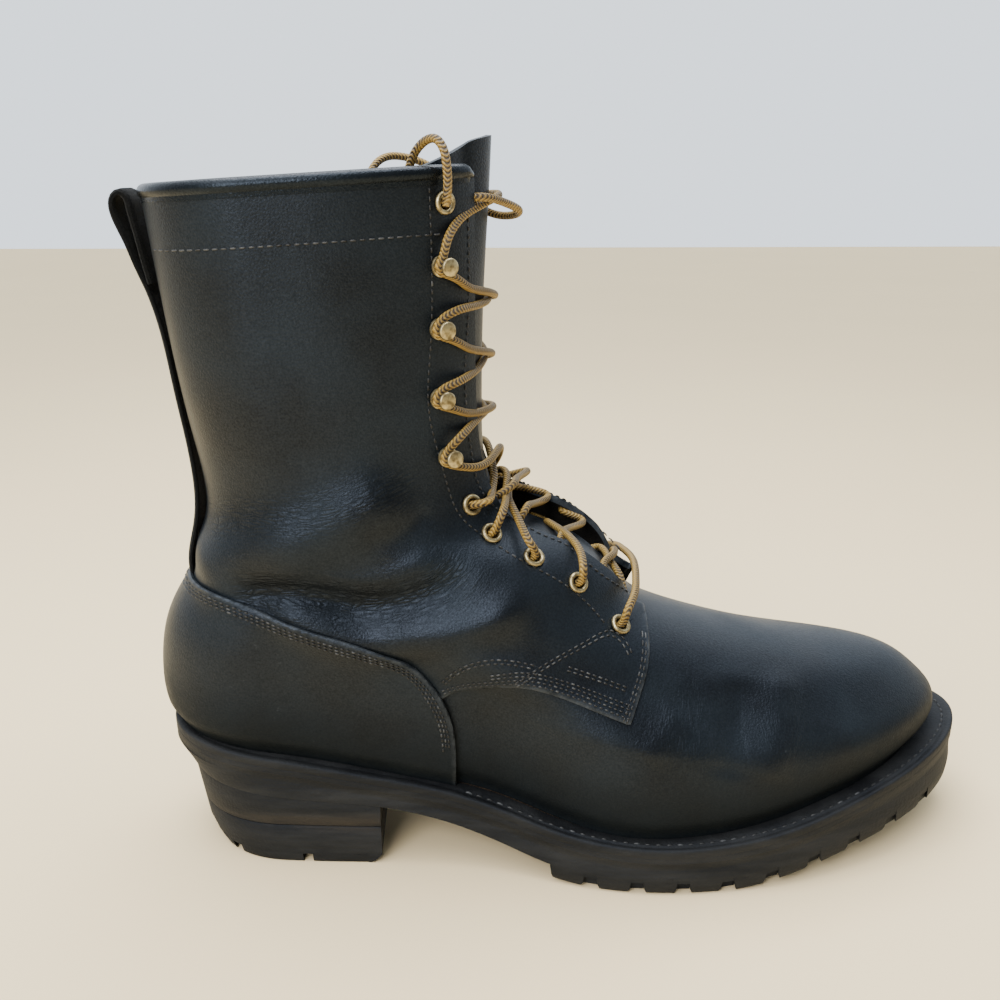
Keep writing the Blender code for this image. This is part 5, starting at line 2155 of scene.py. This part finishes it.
STATIONS = (
    *(LaceStation(HardwareKind.EYELET, x, z) for x, z in (
        (188, 104.3), (170.5, 122.6), (153.1, 132.9), (136.3, 141.7), (128.2, 154))),
    *(LaceStation(HardwareKind.HOOK, x, z) for x, z in (
        (118.8, 174.9), (116.1, 198.5), (116.3, 225), (117.3, 247.9))),
    LaceStation(HardwareKind.EYELET, 118.9, 270.4),
)


@dataclass(frozen=True)
class Hardware:
    """Brass eyelets and hooks up both facings."""

    wall: float = 1.6
    seat_lift: float = 0.82
    eyelet: Line = (
        (2.4, -2.6), (2.4, 0.3), (2.55, 0.75), (2.95, 1.1), (3.4, 1.2), (3.9, 1.08), (4.25, 0.7),
        (4.4, 0.1), (4.3, -0.35), (2.9, -0.35), (2.7, -2.6))
    hook: Line = (
        (0, -0.4), (4.1, -0.4), (4.2, 0.1), (4, 0.6), (3.4, 0.85), (1.6, 0.95), (1.35, 1.3), (1.3, 4.7),
        (1.6, 5), (3.2, 5.1), (3.5, 5.4), (3.5, 6.1), (3.25, 6.5), (2.9, 6.65), (0, 6.75))
    segments: int = 28
    behind: float = 0.05

    def seat(self, station: LaceStation, side: Side) -> Seat:
        """Seat of a station's piece on one side.

        Args:
            station: Its station.
            side: Its side.

        Returns:
            The seat.
        """
        height, run = (float(v) for v in LAST.find(station.x, station.z))
        sign = side.value
        point = LAST.point(height, run, sign)
        outward = LAST.normal(height, run, sign)
        ahead = LAST.point(height, 1, sign) - LAST.point(height, max(run - self.behind, 0), sign)
        ahead = unit(ahead - outward * np.dot(ahead, outward))
        up = np.cross(outward, ahead)
        return Seat(point + outward * (self.wall + self.seat_lift), outward, ahead, up * np.sign(up[2]))

    def holes(self) -> list[Array]:
        """Middle of each eyelet on the middle surface."""
        lift = self.wall + self.seat_lift
        eyelets = [s for s in STATIONS if s.kind is HardwareKind.EYELET]
        return [self.seat(s, side).at(-lift) for s in eyelets for side in Side]

    def build(self) -> None:
        """Make a piece for each eyelet and hook."""
        for side in Side:
            counts = dict.fromkeys(HardwareKind, 0)
            for station in STATIONS:
                counts[station.kind] += 1
                seat = self.seat(station, side)
                profile = self.eyelet if station.kind is HardwareKind.EYELET else self.hook
                shape = turned(profile, seat.point, seat.outward, seat.ahead, self.segments)
                label = f"{station.kind.value}_{side.word}_{counts[station.kind]}"
                piece(f"brass_{label}", shape, BRASS, (label,))


class Strand(NamedTuple):
    """Way of the lace from one station to the next on the other side.

    The points after the station and before the next one are those of the lateral side, which the
    medial side mirrors. The two crossings are those of the strands that leave the lateral and the
    medial side.
    """

    leaving: Way
    from_lateral: Way
    from_medial: Way
    arriving: Way


STRANDS = (
    Strand((), ((192, -13, 117), (189.5, 0, 119.8), (184.5, 13, 121.5)),
           ((192, 13, 119), (190.8, 0, 123), (184.5, -13, 122)), ()),
    Strand(((173, -40, 130.5), (173, -33, 134), (171, -20, 136)), ((167, -5, 136), (162.5, 9, 135)),
           ((177.8, 20, 133), (172, 3, 134), (166.5, -12, 134.5)), ()),
    Strand(((152, -38, 141.5), (149.5, -31, 145), (146.5, -18, 149)),
           ((145, -3, 151.5), (143.5, 11, 153.5)),
           ((162.8, 20, 144.5), (156, 3, 145), (150.5, -14, 146)), ()),
    Strand(((140.5, -32, 150), (143, -20, 153)), ((144, -5, 155), (142, 12, 158)),
           ((153, 20, 155), (149, 3, 156.5), (145, -13, 157)), ()),
    Strand(((134, -30.5, 156), (137.5, -20, 157)), ((138.8, -8, 161), (138, 2, 166), (136.8, 10, 169.5)),
           ((141.5, 8, 166), (141.6, 0, 171), (139.8, -8, 171)), ((133, -24, 169.3),)),
    Strand(((123, -34.5, 181.5), (129, -24, 185.5)), ((133, -13, 187), (135.6, 0, 187)),
           ((137.5, 8, 187.5), (138.6, 0, 188.5), (136.4, -9, 189)), ((128.2, -24, 190.8),)),
    Strand(((122, -34.5, 204), (128.5, -24, 205.5)), ((134, -8, 208), (135.4, 0, 210)),
           ((138.2, 0, 210.5), (135.8, -9, 212.5)), ((128.4, -24, 216.3),)),
    Strand(((122.5, -34.5, 231), (129.3, -24, 232)), ((136.6, 0, 233),),
           ((139.4, 0, 234), (136.4, -9, 236)), ((128.6, -24, 239.4),)),
    Strand(((120.6, -36, 255.6), (124, -30, 262.4), (131.5, -18, 268)),
           ((141, 0, 272.5), (131.5, 18.5, 272)),
           ((139, 15, 265), (149.2, 2, 266.3), (142.5, -8, 270), (131.5, -18.5, 272)), ()),
)


@dataclass(frozen=True)
class Lacing:
    """Two runs of round lace from the bar across the lowest eyelets up to the top ones, and their ends.

    The passages are points at distances outward, ahead and up from an eyelet's or a hook's seat.
    """

    hardware: Hardware
    radius: float = 1.6
    on_face: tuple[float, ...] = (1,)
    bar_start: tuple[float, ...] = (-3,)
    lowest_pass: tuple[tuple[float, ...], ...] = ((-3.5,), (-6, 4))
    eyelet_pass: tuple[tuple[float, ...], ...] = ((-3.4, 3), (-2.6,), (1,))
    hook_pass: Way = ((2.95, 1.4, -3.1), (2.95, -3.1, -0.2), (2.95, -1.4, 3.1))
    facing_clear: float = 0.2
    facing_samples: int = 160
    facing_ends: Pair = (1, 2)
    bar: Way = ((197.5, -20, 118.5), (194.5, -33, 116), (191, -40, 112.5))
    bar_middle: Triple = (199.4, 0, 120)
    sides: int = 18
    step: float = 1.1
    sharp: float = 80
    tip_share: float = 0.45
    tip_length: float = 2
    end_routes: tuple[tuple[Side, Way], ...] = (
        (Side.LATERAL, (
            (120.9, -36.4, 269.3), (121.5, -36.8, 276), (121.3, -36.4, 283), (120, -34.8, 289.2),
            (117.2, -31.8, 292.4), (113.3, -28.5, 291.5), (109.3, -26, 287), (107, -24, 281),
            (105.8, -22.5, 273.5), (105, -21.5, 264))),
        (Side.MEDIAL, (
            (120.9, 36.4, 269.3), (120.7, 38.4, 275), (118.4, 40.5, 279.5), (114.2, 42.6, 283),
            (109, 44, 285.5), (103, 44, 287.2), (97, 42, 287.6), (91.5, 37.5, 285),
            (87.5, 33.5, 278), (85.5, 31, 270), (85, 30, 261))),
    )

    def build_ends(self) -> None:
        """Free ends over the collar, as cords of their real length."""
        for side, route in self.end_routes:
            path = smooth_route(route, self.step)
            name = f"lace_end_{side.word}"
            length = run_along(path)
            tip = np.minimum(1, self.tip_share + (length[-1] - length) / self.tip_length)
            shape = tube(path, self.radius * tip, self.sides)
            obj = piece(f"free_{name}", shape, CORD, (name,), self.sharp)

    def on_side(self, way: Way, side: Side) -> list[Array]:
        """Points of the lateral side, or their mirror images on the medial side."""
        return [np.array((x, -side.value * y, z)) for x, y, z in way]

    def under_facing(self, last: Array, side: Side) -> Array:
        """Point where the lace goes under the facing's edge.

        Args:
            last: Last point before it.
            side: Side of the facing.

        Returns:
            The point.
        """
        low, high = self.facing_ends
        heights = np.linspace(LAST.throat_base + low, LAST.collar.back_z - high, self.facing_samples)
        edge = LAST.point(heights, 1, side.value)
        height = heights[np.linalg.norm(edge - last, axis=1).argmin()]
        return LAST.lifted(height, 1, side.value, -self.hardware.wall - self.radius - self.facing_clear)

    def through(self, station: LaceStation, seat: Seat, side: Side, last: Array) -> list[Array]:
        """Points where the lace passes a station.

        Args:
            station: The station.
            seat: Its seat.
            side: Its side.
            last: Last point before the station.

        Returns:
            The points, upwards.
        """
        if station.kind is HardwareKind.EYELET:
            return [self.under_facing(last, side)] + [seat.at(*place) for place in self.eyelet_pass]
        return [seat.at(*place) for place in self.hook_pass]

    def route(self, first: Side) -> list[Array]:
        """Points of one run of lace.

        Args:
            first: Side of its lowest eyelet.

        Returns:
            The route from the lowest eyelet to the top one, with the bar before the lateral one.
        """
        sides = [Side(first.value * (-1) ** k) for k in range(len(STATIONS))]
        seats = [self.hardware.seat(station, side) for station, side in zip(STATIONS, sides)]
        route = []
        if first is Side.LATERAL:
            far = self.hardware.seat(STATIONS[0], Side.MEDIAL)
            route += [far.at(*self.bar_start), far.at(*self.on_face)]
            route += self.on_side(self.bar[::-1], Side.MEDIAL) + [np.array(self.bar_middle)]
            route += self.on_side(self.bar, first) + [seats[0].at(*self.on_face)]
        route += [seats[0].at(*place) for place in self.lowest_pass]
        for k, strand in enumerate(STRANDS):
            crossing = strand.from_lateral if sides[k] is Side.LATERAL else strand.from_medial
            route += self.on_side(strand.leaving, sides[k]) + [np.array(point) for point in crossing]
            route += self.on_side(strand.arriving, sides[k + 1])
            route += self.through(STATIONS[k + 1], seats[k + 1], sides[k + 1], route[-1])
        return route

    def build(self) -> None:
        """Make both runs."""
        crossings = [f"lace_crossing_{k + 1}" for k in range(len(STRANDS))]
        for side in Side:
            path = smooth_route(self.route(side), self.step)
            piece(f"lace_run_{side.word}", tube(path, self.radius, self.sides), CORD, crossings, self.sharp)


# Seams


@dataclass(frozen=True)
class StitchRow:
    """A row of stitches along a side-view line."""

    line: Line
    offsets: tuple[float, ...] = (0,)
    lift: float = 1.6
    pitch: float = 2.6
    # Share of grey stitches, for rubbed thread and painted highlights
    rubbed: float = 0.04


@dataclass(frozen=True)
class Seams:
    """All rows of stitches on the upper and round the welt."""

    upper: Upper
    sole: Sole
    radius: float = 0.38
    fill: float = 0.72
    sides: int = 6
    welt_pitch: float = 4.4
    welt_reach: float = 4.6
    welt_start: float = 124
    welt_rubbed_and_glint: float = 0.2
    welt_radius: float = 0.55
    welt_sink: float = 0.4
    step: float = 0.5
    sharp: float = 80
    rubbed_and_glint_grey: Pair = (0.25, 0.75)
    fresh_grey: float = 0.1
    # Share of the length, rise and radius along a stitch, the last two in radii of the thread
    profile: Way = ((0, -1, 0.5), (0.12, 0, 0.9), (0.35, 0.4, 1),
                    (0.65, 0.4, 1), (0.88, 0, 0.9), (1, -1, 0.5))

    def rows(self) -> tuple[StitchRow, ...]:
        """Rows of the upper."""
        counter_lift = self.upper.counter_seat + self.upper.counter_thick
        return (
            StitchRow(self.upper.counter_edge[1:-1], (-2.4, -3.7, -5), counter_lift, 2.3, 0.2),
            StitchRow(self.upper.quarter_edge[1:], (1.8, 3.2), pitch=2.3, rubbed=0.2),
            StitchRow(self.upper.quarter_edge[3:], (4.6, 6), pitch=2.3, rubbed=0.2),
            StitchRow(self.upper.tab_front[:-1], (1.8, 3.2), pitch=2.3, rubbed=0.25),
            StitchRow(((116.8, 85.8), (126.7, 95.6), (136.3, 97.9), (145.7, 97.1), (154.6, 94.9)),
                      (0, -1.4), rubbed=0.25),
            StitchRow(((145.4, 88.9), (164.1, 98.9), (176, 103), (183.3, 103.8), (190.6, 98.6),
                       (193.1, 93.3)), (0, -1.4), rubbed=0.35),
            StitchRow(((165.7, 92.8), (178, 88), (189.8, 83)), (0, 1.4), rubbed=0.35),
            StitchRow(((114, 275.8), (114.4, 249.1), (113.6, 220.8), (112.7, 191.1), (116.1, 175.3),
                       (119.2, 162.7), (123.2, 151.9), (135.1, 140.4), (151.6, 131.1), (168.4, 120.7),
                       (182.4, 105.2)), pitch=3),
            StitchRow(((127.6, 265), (127.6, 255.3), (127.4, 230.3), (126, 208.4), (126.5, 190),
                       (128.6, 172), (133, 157), (142, 147), (159.3, 137.1), (166.8, 134.1), (177.3, 126),
                       (189.2, 116), (194.6, 110.4)), pitch=3),
            StitchRow(((13.1, 253.4), (79.9, 257.4), (114, 259.2), (120.2, 259.4)), pitch=3.2, rubbed=0.6),
        )

    def stitches(self, ends: Array, normals: Array, rubbed: float, radius: float) -> Shape:
        """Short round threads that dip into the leather at both ends.

        Args:
            ends: Starts and ends, as stitch, end and x, y, z.
            normals: Outward direction of each stitch.
            rubbed: Share of the stitches that are grey, for rubbed thread and painted highlights.
            radius: Radius of the thread.

        Returns:
            The stitches as one shape.
        """
        shares, rise, thick = np.array(self.profile).T * ((1,), (radius,), (radius,))
        angles = full_turn(self.sides)
        start, end = ends[:, 0], ends[:, 1]
        along = unit(end - start)
        across = np.cross(along, normals)
        middle = start[:, None] + shares[None, :, None] * (end - start)[:, None]
        middle = middle + rise[None, :, None] * normals[:, None]
        cosine, sine = (wave(angles)[None, :, None] for wave in (np.cos, np.sin))
        spokes = cosine * normals[:, None] + sine * across[:, None]
        rings = middle[:, :, None] + thick[None, :, None, None] * spokes[:, None]
        size = len(shares) * self.sides
        one = grid_faces(len(shares), self.sides, False, True)
        one += [tuple(range(self.sides))[::-1], tuple(range(size - self.sides, size))]
        faces = [tuple(i + k * size for i in face) for k in range(len(rings)) for face in one]
        chance = np.random.default_rng(len(rings)).random((2, len(rings)))
        # Grey stitches are rubbed thread and painted highlights, the rest nearly black
        low, high = self.rubbed_and_glint_grey
        grey = np.where(chance[0] < rubbed, low + (high - low) * chance[1], self.fresh_grey * chance[1])
        return Shape(rings.reshape(-1, 3), faces, {"rubbed": np.repeat(grey, size)})

    def on_upper(self, row: StitchRow, offset: float, side: Side) -> Shape:
        """Stitches of one line of a row.

        Args:
            row: The row.
            offset: The line's distance from the row's own.
            side: Side of the boot.

        Returns:
            Their shape.
        """
        places = self.spaced(offset_line(smooth_route(row.line, self.step), offset), row.pitch)
        height, run = LAST.find(places[..., 0], places[..., 1])
        sign = np.full(height.shape, float(side.value))
        relief = self.upper.relief(LAST.point(height, run, sign).reshape(-1, 3)).reshape(height.shape)
        ends = LAST.lifted(height, run, sign, row.lift + relief)
        normals = LAST.normal(height, run, sign).mean(axis=1)
        return self.stitches(ends, unit(normals), row.rubbed, self.radius)

    def on_welt(self) -> Shape:
        """Stitches in the welt's groove, from ahead of the counter round the toe.

        Returns:
            Their shape.
        """
        loop = np.vstack([self.sole.outline(-1), self.sole.outline(1)[-2::-1]])
        line = offset_line(loop, self.welt_reach)
        places = self.spaced(line[line[:, 0] > self.welt_start], self.welt_pitch)
        height = self.sole.top(places[..., 0]) - self.welt_sink
        ends = np.concatenate([places, height[..., None]], axis=-1)
        upward = np.tile((0, 0, 1), (len(places), 1))
        return self.stitches(ends, upward, self.welt_rubbed_and_glint, self.welt_radius)

    def spaced(self, line: Array, pitch: float) -> Array:
        """Starts and ends of the stitches along a line.

        Args:
            line: Points along the line.
            pitch: Length of a stitch and its gap.

        Returns:
            The places, by stitch, end and the line's two axes.
        """
        length = run_along(line)
        starts = pitch * np.arange(int(length[-1] / pitch))
        ends = [np.interp(starts + share * pitch, length, column)
                for share in (0, self.fill) for column in line.T]
        return np.stack(ends, axis=-1).reshape(-1, 2, 2)

    def build(self) -> None:
        """Make the stitches of both sides of the upper and those of the welt."""
        for side in Side:
            lines = [self.on_upper(row, offset, side) for row in self.rows() for offset in row.offsets]
            shape = lines[0]
            for line in lines[1:]:
                shape = shape.joined(line)
            piece(f"seam_stitches_{side.word}", shape, THREAD, sharp=self.sharp)
        piece("welt_stitches", self.on_welt(), WELT_THREAD, sharp=self.sharp)


def main() -> None:
    """Build the studio, the cords and then the boot from the upper down."""
    logging.basicConfig(level=logging.INFO, format="%(name)s: %(message)s")
    Studio().build()
    hardware = Hardware()
    lacing = Lacing(hardware)
    lacing.build_ends()
    upper = Upper()
    upper.build(hardware.holes())
    CollarBinding().build()
    BackStrap().build()
    Tongue().build()
    sole = Sole()
    sole.build()
    Heel(sole).build()
    hardware.build()
    lacing.build()
    Seams(upper, sole).build()


if __name__ == "__main__":
    main()
